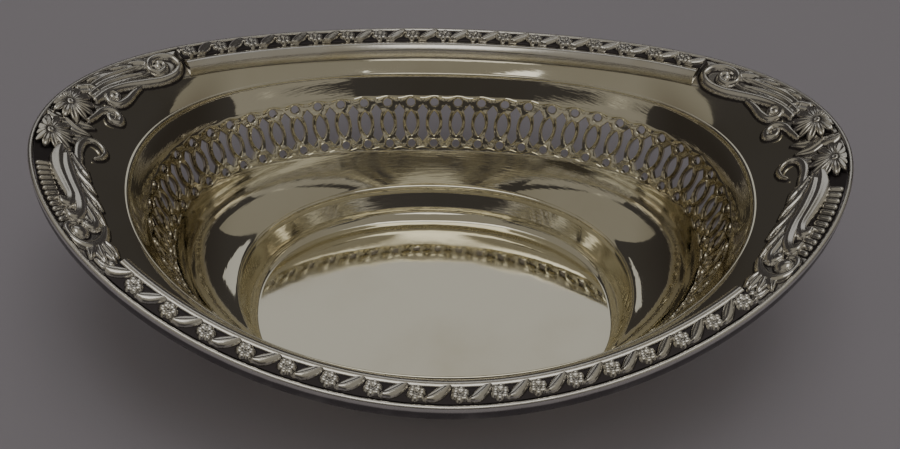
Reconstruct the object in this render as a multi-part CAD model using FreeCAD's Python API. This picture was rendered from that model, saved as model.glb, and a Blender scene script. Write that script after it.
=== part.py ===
import FreeCAD
import Part
import math
import os

# An oval, boat-shaped bonbon dish of silver, pierced all round, with an applied cast border.
# All sizes are in millimetres. The dish stands on z = 0, its length runs along X, and the
# origin is at the middle of its underside. Each level of the wall is an oval ring. A level
# stands outside the level before it by one amount at the two ends and another at the two sides.

sheet = 0.8
seat_gap = 0.12
butt_gap = 0.1

# The flat floor inside the dish.
floor_length = 77.8
floor_width = 55.6
floor_oval_share = 2.3

# The stepped moulding round the floor.
step_bead_out = 1.0
step_bead_rise = 1.2
step_ledge_out = 0.6
step_ledge_rise = 0.3
step_rise = 1.3
step_end_out = 0.7
step_side_out = 0.2
step_oval_share = 2.12

# The slanted cove above the step and the upright ridge at its top.
cove_end_out = 1.4
cove_side_out = 2.05
cove_rise = 2.8
cove_end_sweep = 0.9
ridge_end_out = 0.2
ridge_side_out = 0.25
ridge_rise = 2.3
ridge_end_sweep = 0.1

# The lower wall: nearly straight at the sides, and bulging at the ends. It leaves the ridge
# towards the haunch, which bends it, and arrives below the piercing.
haunch_end_out = 10.6
haunch_side_out = 1.5
haunch_rise = 3.6
haunch_end_sweep = -0.6
wall_end_out = 2.0
wall_side_out = 1.9
wall_rise = 4.0
wall_end_sweep = 5.5

# The straight pierced wall.
band_end_out = 4.9
band_side_out = 6.5
band_rise = 10.9
band_end_sweep = 1.7
band_margin = 1.7

# The straight collar above the pierced wall.
collar_end_out = 3.6
collar_side_out = 2.6
collar_rise = 4.1
collar_end_sweep = 1.1

# The rim bows out from the collar to the outer edge. It leaves the collar towards the lead
# and comes to the edge from the shoulder, which are the two levels that bend the bow.
lead_end_out = 3.4
lead_side_out = 2.4
lead_rise = 0.85
lead_end_sweep = 1.8
shoulder_end_out = 8.0
shoulder_side_out = 4.4
shoulder_rise = 1.6
shoulder_end_sweep = 3.0
edge_end_out = 6.0
edge_side_out = 3.2
edge_rise = 1.0
edge_end_sweep = 1.85
rim_oval_share = 1.9
wall_oval_share = 2.1

# The piercing: pointed ovals with a dot above and below, and an hourglass between two ovals.
cell_pitch = 5.2
oval_width = 2.3
oval_height = 5.6
dot_diameter = 1.8
hourglass_width = 2.35
hourglass_waist = 1.37
hourglass_tip_inset = 0.4
hourglass_shoulder_share = 0.59
cut_overrun = 2.4

# The applied border. Side strips lie along the sides, and a wide cast piece lies on each end.
strip_width = 6.3
strip_outer_thickness = 0.75
strip_inner_thickness = 2.6
lip_width = 2.5
lip_height = 2.9
lip_foot_height = 2.2
lip_crest_share = 0.25
end_border_width = 12.6
end_border_thickness = 0.9
end_border_crown = 1.1
end_border_swell_share = 0.385
right_joint_from_middle = 59.0
left_back_joint_from_middle = 57.0
left_front_joint_from_middle = 65.0
front_seam_from_middle = 4.5

# The plain moulded wire round the outer edge.
wire_width = 1.1
wire_shoulder = 0.35
wire_crown = 0.6
wire_apron = 2.5

# How finely the curves are drawn.
ring_points = 56
border_stations = 14
end_stations = 21
wire_stations = 41
curve_steps = 6
rim_steps = 10
halvings = 50
table_steps = 720


class Level:
    # One oval ring of the wall: half sizes, height at the sides, extra height at the ends
    # and the exponent that makes the oval fuller than an ellipse (over 2) or leaner.
    def __init__(self, half_length, half_width, height, sweep, fullness):
        self.half_length = half_length
        self.half_width = half_width
        self.height = height
        self.sweep = sweep
        self.fullness = fullness

    def point(self, angle):
        c = math.cos(angle)
        s = math.sin(angle)
        reach = (abs(c) ** self.fullness + abs(s) ** self.fullness) ** (-1 / self.fullness)
        rise = self.sweep * (c * reach) ** 2
        return FreeCAD.Vector(self.half_length * c * reach, self.half_width * s * reach,
                              self.height + rise)

    def grown(self, end_out, side_out, rise, end_sweep, fullness):
        return Level(self.half_length + end_out, self.half_width + side_out, self.height + rise,
                     self.sweep + end_sweep, fullness)


def between(low, high, out_share, rise_share, fullness_share):
    # A level between two others, by its shares of the way out, of the way up and of the fullness.
    return Level(low.half_length + (high.half_length - low.half_length) * out_share,
                 low.half_width + (high.half_width - low.half_width) * out_share,
                 low.height + (high.height - low.height) * rise_share,
                 low.sweep + (high.sweep - low.sweep) * rise_share,
                 low.fullness + (high.fullness - low.fullness) * fullness_share)


def curved(levels, share):
    # The level at a share of the way along a curve that leaves the first of these levels
    # towards the second one and comes to the last one from the one before it.
    while len(levels) > 1:
        levels = [between(low, high, share, share, share) for low, high in zip(levels, levels[1:])]
    return levels[0]


floor = Level(floor_length / 2, floor_width / 2, sheet, 0, floor_oval_share)
step_bead = floor.grown(step_bead_out, step_bead_out, step_bead_rise, 0, floor_oval_share)
step_ledge = step_bead.grown(step_ledge_out, step_ledge_out, step_ledge_rise, 0, step_oval_share)
step = step_ledge.grown(step_end_out, step_side_out, step_rise, 0, step_oval_share)
cove = step.grown(cove_end_out, cove_side_out, cove_rise, cove_end_sweep, wall_oval_share)
ridge = cove.grown(ridge_end_out, ridge_side_out, ridge_rise, ridge_end_sweep, wall_oval_share)
haunch = ridge.grown(haunch_end_out, haunch_side_out, haunch_rise, haunch_end_sweep,
                     wall_oval_share)
band_low = haunch.grown(wall_end_out, wall_side_out, wall_rise, wall_end_sweep, wall_oval_share)
band_high = band_low.grown(band_end_out, band_side_out, band_rise, band_end_sweep, wall_oval_share)
collar = band_high.grown(collar_end_out, collar_side_out, collar_rise, collar_end_sweep,
                         wall_oval_share)
lead = collar.grown(lead_end_out, lead_side_out, lead_rise, lead_end_sweep, rim_oval_share)
shoulder = lead.grown(shoulder_end_out, shoulder_side_out, shoulder_rise, shoulder_end_sweep,
                      rim_oval_share)
edge = shoulder.grown(edge_end_out, edge_side_out, edge_rise, edge_end_sweep, rim_oval_share)


def rim(share):
    return curved([collar, lead, shoulder, edge], share)


def ring_wire(level):
    points = [level.point(2 * math.pi * i / ring_points) for i in range(ring_points)]
    places = [i / ring_points for i in range(ring_points + 1)]
    curve = Part.BSplineCurve()
    curve.interpolate(Points=points, PeriodicFlag=True, Parameters=places)
    return Part.Wire(curve.toShape())


def away(out, rise):
    # The unit direction that leaves a wall on its outer side, as (outwards, upwards).
    length = math.hypot(out, rise)
    return rise / length, -out / length


def outside_of(before, level, after):
    # The ring on the outer face of the sheet, one sheet away from a ring on the inner face.
    end_out, end_up = away(after.half_length - before.half_length,
                           after.height + after.sweep - before.height - before.sweep)
    side_out, side_up = away(after.half_width - before.half_width, after.height - before.height)
    return level.grown(sheet * end_out, sheet * side_out, sheet * side_up,
                       sheet * (end_up - side_up), level.fullness)


def bowl_solid():
    inner = [floor, step_bead, step_ledge, step, cove, ridge]
    inner += [curved([ridge, haunch, band_low], i / curve_steps) for i in range(1, curve_steps)]
    inner += [band_low, band_high]
    inner += [rim(i / rim_steps) for i in range(rim_steps + 1)]
    underside = Level(floor.half_length + sheet, floor.half_width + sheet, 0, 0, floor.fullness)
    outer = [underside]
    for before, level, after in zip(inner, inner[1:], inner[2:]):
        outer.append(outside_of(before, level, after))
    outer.append(edge.grown(0, 0, -sheet, 0, rim_oval_share))
    wires = [ring_wire(level) for level in outer + inner[::-1]]
    return Part.makeLoft(wires, True, True)


def even_angles(level, count, shift):
    # Angles of points that lie evenly along the level's ring, shift in steps from the end.
    lengths = [0]
    last = level.point(0)
    for i in range(1, table_steps + 1):
        here = level.point(2 * math.pi * i / table_steps)
        lengths.append(lengths[-1] + here.distanceToPoint(last))
        last = here
    angles = []
    at = 0
    for k in range(count):
        wanted = lengths[-1] * (k + shift) / count
        while lengths[at + 1] < wanted:
            at += 1
        part = (wanted - lengths[at]) / (lengths[at + 1] - lengths[at])
        angles.append(2 * math.pi * (at + part) / table_steps)
    return angles


def ring_length(level):
    points = [level.point(2 * math.pi * i / table_steps) for i in range(table_steps + 1)]
    return sum(a.distanceToPoint(b) for a, b in zip(points, points[1:]))


class Place:
    # A place on the pierced wall: its middle, the way along, the way up and the way out.
    def __init__(self, angle):
        nudge = math.pi / table_steps
        low = band_low.point(angle)
        high = band_high.point(angle)
        self.middle = (low + high) / 2
        self.up = (high - low).normalize()
        middle_band = between(band_low, band_high, 1 / 2, 1 / 2, 1 / 2)
        along = middle_band.point(angle + nudge) - middle_band.point(angle - nudge)
        self.out = along.cross(self.up).normalize()
        self.along = self.up.cross(self.out)
        self.rows = high.distanceToPoint(low) / 2 - band_margin

    def at(self, along, up):
        start = self.middle - self.out * cut_overrun
        return start + self.along * along + self.up * up


def prism(place, edges):
    return Part.Face(Part.Wire(edges)).extrude(place.out * 2 * cut_overrun)


def oval_cut(place):
    top = place.at(0, oval_height / 2)
    bottom = place.at(0, -oval_height / 2)
    right = Part.Arc(bottom, place.at(oval_width / 2, 0), top).toShape()
    left = Part.Arc(top, place.at(-oval_width / 2, 0), bottom).toShape()
    return prism(place, [right, left])


def dot_cut(place, up):
    circle = Part.Circle(place.at(0, up), place.out, dot_diameter / 2).toShape()
    return prism(place, [circle])


def hourglass_cut(place):
    tip = place.rows - hourglass_tip_inset
    shoulder = place.rows * hourglass_shoulder_share
    wide = hourglass_width / 2
    narrow = hourglass_waist / 2
    top = place.at(0, tip)
    top_right = place.at(wide, shoulder)
    bottom_right = place.at(wide, -shoulder)
    bottom = place.at(0, -tip)
    bottom_left = place.at(-wide, -shoulder)
    top_left = place.at(-wide, shoulder)
    right = Part.Arc(top_right, place.at(narrow, 0), bottom_right).toShape()
    left = Part.Arc(bottom_left, place.at(-narrow, 0), top_left).toShape()
    return prism(place, [
        Part.makeLine(top, top_right),
        right,
        Part.makeLine(bottom_right, bottom),
        Part.makeLine(bottom, bottom_left),
        left,
        Part.makeLine(top_left, top),
    ])


def piercings():
    # Four equal quarters, each a whole number of cells, so that the pattern closes evenly.
    middle_band = between(band_low, band_high, 1 / 2, 1 / 2, 1 / 2)
    count = 4 * round(ring_length(middle_band) / cell_pitch / 4)
    cuts = []
    for angle in even_angles(middle_band, count, 0):
        place = Place(angle)
        cuts.append(oval_cut(place))
        cuts.append(dot_cut(place, place.rows))
        cuts.append(dot_cut(place, -place.rows))
    for angle in even_angles(middle_band, count, 1 / 2):
        cuts.append(hourglass_cut(Place(angle)))
    return Part.Compound(cuts)


def rim_height(x, y):
    # The height of the rim's upper face at a plan position, on the ring that passes there.
    low = 0.0
    high = 1.0
    for _ in range(halvings):
        share = (low + high) / 2
        ring = rim(share)
        full = ring.fullness
        if (abs(x) / ring.half_length) ** full + (abs(y) / ring.half_width) ** full > 1:
            low = share
        else:
            high = share
    return ring.height + ring.sweep * (x / ring.half_length) ** 2


class Station:
    # A place on the rim's outer edge, with the level direction that points inwards from it.
    def __init__(self, angle):
        nudge = math.pi / table_steps
        self.place = edge.point(angle)
        along = edge.point(angle + nudge) - edge.point(angle - nudge)
        self.inward = FreeCAD.Vector(-along.y, along.x, 0).normalize()

    def on_rim(self, inward, up):
        x = self.place.x + self.inward.x * inward
        y = self.place.y + self.inward.y * inward
        return FreeCAD.Vector(x, y, rim_height(x, y) + up)

    def off_edge(self, outward, up):
        return self.place - self.inward * outward + FreeCAD.Vector(0, 0, up)


def angle_at(x, sign):
    # The angle of the outer edge's point with this x, on the back (+1) or the front (-1).
    low = 0.0
    high = math.pi
    for _ in range(halvings):
        angle = (low + high) / 2
        if edge.point(angle).x > x:
            low = angle
        else:
            high = angle
    return sign * angle


def butted(start, end):
    # The angles at which a piece starts and ends, half a butt gap short of its two joints.
    nudge = (end - start) / table_steps
    speed = edge.point(start + nudge).distanceToPoint(edge.point(start)) / abs(nudge)
    far_speed = edge.point(end - nudge).distanceToPoint(edge.point(end)) / abs(nudge)
    way = 1 if end > start else -1
    return start + way * butt_gap / 2 / speed, end - way * butt_gap / 2 / far_speed


def stations(start, end, count):
    start, end = butted(start, end)
    return [Station(start + (end - start) * i / (count - 1)) for i in range(count)]


def strip_section(station):
    # From the outer edge inwards: a ground that rises inwards, then a lip that falls to the rim.
    ground = strip_width - lip_width
    crest = ground + lip_width * lip_crest_share
    outline = [
        (0, seat_gap),
        (ground / 2, seat_gap),
        (ground, seat_gap),
        (strip_width, seat_gap),
        (strip_width, lip_foot_height),
        (crest, lip_height),
        (ground, strip_inner_thickness),
        (0, strip_outer_thickness),
    ]
    points = [station.on_rim(inward, up) for inward, up in outline]
    return Part.makePolygon(points + points[:1])


def end_section(station, width):
    # The wide end piece: its underside follows the rim and its face is gently crowned.
    reaches = [width * i / curve_steps for i in range(curve_steps + 1)]
    under = [(reach, seat_gap) for reach in reaches]
    over = []
    for reach in reversed(reaches):
        crown = end_border_crown * math.sin(math.pi * reach / width)
        over.append((reach, end_border_thickness + crown))
    points = [station.on_rim(inward, up) for inward, up in under + over]
    return Part.makePolygon(points + points[:1])


def side_strip(start, end):
    sections = [strip_section(station) for station in stations(start, end, border_stations)]
    return Part.makeLoft(sections, True, False)


def end_border(start, end):
    # Narrow where it meets the side strips, and at its full width over the middle.
    sections = []
    last = end_stations - 1
    for i, station in enumerate(stations(start, end, end_stations)):
        share = min(1, min(i, last - i) / last / end_border_swell_share)
        swell = (1 - math.cos(math.pi * share)) / 2
        width = strip_width + (end_border_width - strip_width) * swell
        sections.append(end_section(station, width))
    return Part.makeLoft(sections, True, False)


def wire_section(station):
    # A plain moulded wire: round on top, with a straight apron that hides the sheet's edge.
    inner = seat_gap
    outer = seat_gap + wire_width
    top_inner = station.off_edge(inner, wire_shoulder)
    crown = station.off_edge((inner + outer) / 2, wire_shoulder + wire_crown)
    top_outer = station.off_edge(outer, wire_shoulder)
    low_outer = station.off_edge(outer - wire_width / 4, -wire_apron)
    low_inner = station.off_edge(inner, -wire_apron)
    return Part.Wire([
        Part.Arc(top_inner, crown, top_outer).toShape(),
        Part.makeLine(top_outer, low_outer),
        Part.makeLine(low_outer, low_inner),
        Part.makeLine(low_inner, top_inner),
    ])


def edge_wire(start, end):
    sections = [wire_section(station) for station in stations(start, end, wire_stations)]
    return Part.makeLoft(sections, True, False)


def export(name, shape):
    shape.exportStep("parts/" + name + ".step")


def main():
    os.makedirs("parts", exist_ok=True)
    right_back = angle_at(right_joint_from_middle, 1)
    left_back = angle_at(-left_back_joint_from_middle, 1)
    right_front = angle_at(right_joint_from_middle, -1)
    left_front = angle_at(-left_front_joint_from_middle, -1)
    back_seam = angle_at(0, 1)
    front_seam = angle_at(front_seam_from_middle, -1)
    whole_turn = 2 * math.pi
    export("bowl", bowl_solid().cut(piercings()))
    export("right_end_border", end_border(right_front, right_back))
    export("left_end_border", end_border(left_back, left_front + whole_turn))
    export("back_right_border", side_strip(right_back, back_seam))
    export("back_left_border", side_strip(back_seam, left_back))
    export("front_right_border", side_strip(front_seam, right_front))
    export("front_left_border", side_strip(left_front, front_seam))
    export("right_edge_wire", edge_wire(front_seam, back_seam))
    export("left_edge_wire", edge_wire(back_seam, front_seam + whole_turn))


main()
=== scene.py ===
import math

import bmesh
import bpy
import numpy as np
from bpy.props import FloatProperty, FloatVectorProperty, IntProperty, PointerProperty
from mathutils import Matrix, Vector
from mathutils.geometry import delaunay_2d_cdt


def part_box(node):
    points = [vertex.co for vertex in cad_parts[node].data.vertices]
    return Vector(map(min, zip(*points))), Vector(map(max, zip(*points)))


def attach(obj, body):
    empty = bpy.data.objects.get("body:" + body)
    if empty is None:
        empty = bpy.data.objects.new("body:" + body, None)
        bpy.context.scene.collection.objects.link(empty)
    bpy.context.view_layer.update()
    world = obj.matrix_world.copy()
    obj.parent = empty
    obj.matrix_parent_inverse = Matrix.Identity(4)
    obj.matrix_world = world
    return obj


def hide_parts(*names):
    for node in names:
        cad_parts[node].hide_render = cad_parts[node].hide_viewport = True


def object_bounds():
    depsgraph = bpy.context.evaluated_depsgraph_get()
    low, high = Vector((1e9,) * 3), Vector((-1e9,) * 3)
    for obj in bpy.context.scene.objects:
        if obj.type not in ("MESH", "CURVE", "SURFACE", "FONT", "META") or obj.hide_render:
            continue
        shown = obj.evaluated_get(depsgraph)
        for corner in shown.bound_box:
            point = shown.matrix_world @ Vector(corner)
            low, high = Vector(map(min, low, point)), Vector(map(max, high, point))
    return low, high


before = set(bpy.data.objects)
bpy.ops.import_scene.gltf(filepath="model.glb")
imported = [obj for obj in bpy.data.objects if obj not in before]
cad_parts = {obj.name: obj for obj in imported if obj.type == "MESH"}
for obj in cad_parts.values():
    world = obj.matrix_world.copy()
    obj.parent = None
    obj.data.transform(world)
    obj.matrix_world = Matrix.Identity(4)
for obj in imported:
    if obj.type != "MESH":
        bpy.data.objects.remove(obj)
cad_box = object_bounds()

bl_info = {
    "name": "Bonbon dish",
    "version": (1, 0, 0),
    "blender": (4, 5, 0),
    "location": "View3D > Sidebar > Dish",
    "description": "Makes an oval pierced silver bonbon dish with a cast border round its packed solids",
    "category": "Object",
}

# Shapes are worked out in millimetres, and turned into metres when a piece is made.
MM = 0.001
BODY = "root"

# The oval rings of the wall: half length, half width, height at the sides, extra height at the
# ends and fullness of the oval.
FLOOR = (38.9, 27.8, 0.8, 0, 2.3)
STEP_BEAD = (39.9, 28.8, 2.0, 0, 2.3)
STEP_LEDGE = (40.5, 29.4, 2.3, 0, 2.12)
STEP = (41.2, 29.6, 3.6, 0, 2.12)
COVE = (42.6, 31.65, 6.4, 0.9, 2.1)
RIDGE = (42.8, 31.9, 8.7, 1.0, 2.1)
HAUNCH = (53.4, 33.4, 12.3, 0.4, 2.1)
BAND_LOW = (55.4, 35.3, 16.3, 5.9, 2.1)
BAND_HIGH = (60.3, 41.8, 27.2, 7.6, 2.1)
COLLAR = (63.9, 44.4, 31.3, 8.7, 2.1)
LEAD = (67.3, 46.8, 32.15, 10.5, 1.9)
SHOULDER = (75.3, 51.2, 33.75, 13.5, 1.9)
EDGE = (81.3, 54.4, 34.75, 15.35, 1.9)
SHEET = 0.8

# How finely the lower wall, the rim and the lengths along a ring are divided, and how often the
# search for a place on the rim halves its range.
CURVE_STEPS = 6
RIM_STEPS = 10
TABLE_STEPS = 2880
HALVINGS = 26

# Rows across each part of the wall, as shares of the way. A second number is what stands up there,
# as a share of the rise of the bead above the cove, or of the line below the flange.
FLOOR_SHARES = (0.02, 0.2, 0.5, 0.8, 0.92, 0.98)
UNDERSIDE_SHARES = (0, 0.4, 0.9, 0.98, 1)
STEP_SHARES = (0.05, 0.5, 0.95)
BEAD_SHARES = ((0, 0), (0.04, 0.8), (0.2, 1.2), (0.45, 1.4), (0.7, 1.2), (0.86, 0.8), (0.9, 0), (1, 0))
COLLAR_SHARES = ((0.5, 0), (0.9, 0), (0.93, 1), (0.97, 1.5))
FLANGE_SHARES = ((0, 1.5), (0.02, 1.2), (0.035, 0))
PLAIN_FLANGE_SHARE = 0.07

# The piercing, rolled out flat: each cell has an oval, two dots and half of two hourglasses. An
# hourglass has its tips and shoulders this far from its middle, and these half widths.
PIERCED_CELLS = 60
COLUMNS_PER_CELL = 8
CELL_WIDE = 5.17
BAND_TALL = 13.1
DOT_FROM_EDGE = 1.7
HOURGLASS_TIP, HOURGLASS_SHOULDER = 4.45, 2.85
HOURGLASS_WIDE, HOURGLASS_WAIST = 1.175, 0.685
HOURGLASS_TAPER_SHARE = 0.52
HOURGLASS_STEPS = 8
OVAL_STEPS, DOT_STEPS = 16, 18
SCALLOP = 0.5
SCALLOP_FROM_EDGE = 0.75

# The raised rims of the holes and the raised scalloped lines, as steps outwards or across in mm,
# each with the share of the collar's rise that it stands up.
COLLAR_STEPS = ((0, 0.15), (0.13, 0.8), (0.27, 1), (0.44, 0))
HOURGLASS_COLLAR_STEPS = ((0, 0.2), (0.14, 0.6))
SCALLOP_STEPS = ((-0.16, 0), (-0.05, 1), (0.05, 1), (0.16, 0))
LOW_SCALLOP_SHARE, HIGH_SCALLOP_SHARE = 0.9, 0.35

# How far the raised rim reaches at an oval's tips, round a dot and at an hourglass's tips and
# shoulders, as shares of those steps.
OVAL_TIP_SHARE, DOT_RIM_SHARE = 1.3, 0.6
HOURGLASS_TIP_SHARE, SHOULDER_SHARE = 1.6, 0.3

# Sizes below which points of the cell are one, lie on its border, or span no triangle.
CELL_MERGE, ON_BORDER, NO_AREA = 1e-4, 1e-6, 1e-7

# The gap that stands for the solder beside the bowl's edge, and how far a strip sinks into the rim.
EDGE_GAP = 0.12
BORDER_SINK = -0.05

# Relief: the sloping skirt round what is covered, how far the painted contact shadow beside a ridge
# reaches, how much the face bends in the darkest crease and how dark that is, the height from which
# the silver is bare, and a distance that stands for nothing near.
SKIRT = 0.3
CONTACT_SHADE_REACH = 0.75
CREASE = 0.16
DARKEST_CREASE = 0.85
BARE_HEIGHT = 0.5
FAR = 9.0

# A ridge: where it gets thin it gets lower, and its hollow lies beside its middle.
SWELL_STEEP, SWELL_LESS = 2.2, 0.6
HOLLOW_PLACE_SHARE, HOLLOW_WIDE_SHARE = 0.3, 0.28

# The border's motif, in shares of its pitch along and of the ground's width inwards. A rosette's
# parts each have a radius in mm and a height or depth in shares of the motif's relief.
ROSETTE_SHARE, ROSETTE_IN_SHARE = 0.7, 0.52
LEAF_SHARES = ((-0.17, 0.2), (-0.06, 0.2), (0.05, 0.3), (0.16, 0.46), (0.28, 0.66), (0.38, 0.84),
               (0.46, 0.98))
LEAF_WIDTHS = (0.25, 0.7, 1.1, 1.22, 1.12, 0.95, 0.6)
LEAF_HOLLOW = 0.15
ROSETTE_TURN = 0.3
ROSETTE_PETAL, ROSETTE_DENT = (0.84, 0.85), (0.22, 0.2)
ROSETTE_HEART, ROSETTE_HOLE = (0.6, 1), (0.28, 0.8)
MOTIF_COLUMNS, MOTIF_ROWS = 57, 50

# The plain lip: the groove beside it, the part of a half turn that rounds it, the dark line at its
# foot, how far its inner corner drops, and how dark its inner side is painted, as painted shade.
GROOVE_DEEP, GROOVE_WIDE = 0.3, 0.16
LIP_FROM_SHARE, LIP_TURN_SHARE = 0.06, 0.75
LIP_DARK, LIP_DROP, INNER_SIDE_SHADE = 0.3, 0.15, 0.3


# settings


COLOUR = {"subtype": "COLOR", "min": 0, "max": 1}


class PiercedBowlSizes(bpy.types.PropertyGroup):
    """Sizes of the piercing and of the raised lines round its holes."""

    oval_width: FloatProperty(name="Oval width", description="Width of an oval hole, in mm", default=2.3)
    oval_height: FloatProperty(name="Oval height", description="Height of an oval hole, in mm", default=5.6)
    dot_diameter: FloatProperty(name="Dot", description="Diameter of a round hole, in mm", default=1.8)
    collar_rise: FloatProperty(name="Collar rise", description="Rise of a hole's rim, in mm", default=0.3)
    ridge_rise: FloatProperty(name="Bead rise", description="Bead above the cove, in mm", default=0.3)
    line_rise: FloatProperty(name="Line rise", description="Line below the flange, in mm", default=0.12)


class BorderSizes(bpy.types.PropertyGroup):
    """Sizes of the applied border strips and of the edge wire."""

    strip_width: FloatProperty(name="Strip width", description="Width of a strip, in mm", default=6.3)
    outer_rise: FloatProperty(name="Outer rise", description="Height at the outer edge, in mm", default=0.75)
    inner_rise: FloatProperty(name="Inner rise", description="Height beside the lip, in mm", default=2.45)
    lip_width: FloatProperty(name="Lip width", description="Width of the plain lip, in mm", default=2.5)
    lip_rise: FloatProperty(name="Lip rise", description="Height of the plain lip, in mm", default=2.9)
    relief: FloatProperty(name="Relief", description="Rise of rosettes and leaves, in mm", default=1.05)
    rosette_petals: IntProperty(name="Petals", description="Petals of a rosette", default=6, min=4)
    rosette_radius: FloatProperty(name="Ring", description="Radius of its ring, in mm", default=1.08)
    front_left_motifs: IntProperty(name="Front left", description="Motifs on the strip", default=9, min=1)
    front_right_motifs: IntProperty(name="Front right", description="Motifs on the strip", default=8, min=1)
    back_left_motifs: IntProperty(name="Back left", description="Motifs on the strip", default=8, min=1)
    back_right_motifs: IntProperty(name="Back right", description="Motifs on the strip", default=9, min=1)
    wire_width: FloatProperty(name="Wire width", description="Width of the wire, in mm", default=1.08)
    wire_crown: FloatProperty(name="Wire crown", description="Rise of its round top, in mm", default=0.58)
    wire_apron: FloatProperty(name="Wire apron", description="How far it hangs down, in mm", default=2.5)


class EndPieceSizes(bpy.types.PropertyGroup):
    """Sizes of the flowered piece on each end."""

    ground_rise: FloatProperty(name="Ground rise", description="Height of the ground, in mm", default=0.35)
    petal_count: IntProperty(name="Petals", description="Petals of each daisy", default=12, min=5)
    petal_length: FloatProperty(name="Petal length", description="Length of a petal, in mm", default=4.2)
    flute_count: IntProperty(name="Flutes", description="Flutes beside the long leaf", default=12, min=2)
    flute_length: FloatProperty(name="Flute length", description="Length of a flute, in mm", default=3.2)
    boldness: FloatProperty(name="Boldness", description="Widens the scrolls and leaves", default=1.55)
    relief: FloatProperty(name="Relief", description="Heightens the scrolls and leaves", default=1.1)
    cell: FloatProperty(name="Mesh cell", description="Size of a cell of the mesh, in mm", default=0.16)


class SilverFinish(bpy.types.PropertyGroup):
    """Colours of the silver."""

    brown: FloatVectorProperty(
        name="Brown", description="Heavy tarnish at the wall's ends", default=(0.48, 0.43, 0.33), **COLOUR)
    sheet: FloatVectorProperty(
        name="Sheet", description="The polished sheet", default=(0.85, 0.82, 0.70), **COLOUR)
    tarnish: FloatVectorProperty(
        name="Tarnish", description="The warm tarnish", default=(0.66, 0.60, 0.44), **COLOUR)
    cast: FloatVectorProperty(
        name="Cast", description="High spots of the border", default=(0.83, 0.81, 0.77), **COLOUR)
    # Recess: oxide in the hollows, and also the painted shade beside ridges and on the wire's side.
    recess_and_shade: FloatVectorProperty(
        name="Recess", description="Dark hollows of the border", default=(0.095, 0.085, 0.09), **COLOUR)


class StageLook(bpy.types.PropertyGroup):
    """The plain floor, and the strength of the soft lights in watts."""

    floor: FloatVectorProperty(
        name="Floor", description="Colour of the plain floor", default=(0.54, 0.52, 0.61), **COLOUR)
    window: FloatProperty(name="Window", description="Bright light behind the dish", default=1.2, min=0)
    ceiling: FloatProperty(name="Ceiling", description="Broad dim light overhead", default=12.5, min=0)
    lamp: FloatProperty(name="Lamp", description="Small bright light overhead", default=2.4, min=0)
    screen: FloatProperty(name="Screens", description="Dim lights at both sides", default=1.4, min=0)
    room: FloatProperty(name="Room", description="Brightness of the room, not in watts", default=0.05, min=0)


SETTINGS = {
    "dish_bowl": PiercedBowlSizes,
    "dish_border": BorderSizes,
    "dish_ends": EndPieceSizes,
    "dish_silver": SilverFinish,
    "dish_stage": StageLook,
}


# rings and curves


def ring(level, angles):
    """Points of one ring, or of a column of rings, at these angles."""
    long, wide, height, sweep, full = level
    c, s = np.cos(angles), np.sin(angles)
    reach = (np.abs(c) ** full + np.abs(s) ** full) ** (-1 / full)
    flat = np.zeros(np.broadcast(long, c).shape)
    places = [long * c * reach + flat, wide * s * reach + flat, height + sweep * (c * reach) ** 2 + flat]
    return np.stack(places, -1)


def rings(levels, angles):
    """A grid of points, one row for each level."""
    return ring([column[:, None] for column in np.array(levels, float)[:, :5].T], angles[None, :])


def between(low, high, share):
    """The level at this share of the way from one level to another."""
    low, high = np.array(low, float), np.array(high, float)
    return tuple(low + (high - low) * share)


def curved(levels, shares):
    """Levels at these shares along a curve that the levels between its two ends bend."""
    shares = np.asarray(shares, float)[..., None]
    levels = [np.array(level, float) for level in levels]
    while len(levels) > 1:
        levels = [low + (high - low) * shares for low, high in zip(levels, levels[1:])]
    return levels[0]


def rounded(rows, times):
    """Rows with their corners cut, so that the profile runs smoothly. The ends stay."""
    rows = np.array(rows, float)
    for _ in range(times):
        first = rows[:-1] * 0.75 + rows[1:] * 0.25
        second = rows[:-1] * 0.25 + rows[1:] * 0.75
        cut = np.stack([first, second], 1).reshape(-1, rows.shape[1])
        rows = np.concatenate([rows[:1], cut[1:-1], rows[-1:]])
    return rows


def running_lengths(points):
    """How far along a line of points each of them is."""
    steps = np.linalg.norm(np.diff(points, axis=0), axis=1)
    return np.concatenate([[0], np.cumsum(steps)])


def even_angles(level, shares):
    """Angles at these shares of the way along the level's ring."""
    table = np.linspace(0, 2 * math.pi, TABLE_STEPS + 1)
    lengths = running_lengths(ring(level, table))
    return np.interp(np.asarray(shares) * lengths[-1], lengths, table)


def unit(vectors):
    return vectors / np.linalg.norm(vectors, axis=-1, keepdims=True)


def rim(share):
    """The levels at these shares of the way along the bowed rim, from the collar to the edge."""
    return curved((COLLAR, LEAD, SHOULDER, EDGE), share)


def rim_height(x, y):
    """Height of the rim's upper face at plan positions."""
    low, high = np.zeros(np.shape(x)), np.ones(np.shape(x))
    for _ in range(HALVINGS):
        share = (low + high) / 2
        long, wide, height, sweep, full = np.moveaxis(rim(share), -1, 0)
        beyond = (np.abs(x) / long) ** full + (np.abs(y) / wide) ** full > 1
        low, high = np.where(beyond, share, low), np.where(beyond, high, share)
    return height + sweep * (x / long) ** 2


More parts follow.
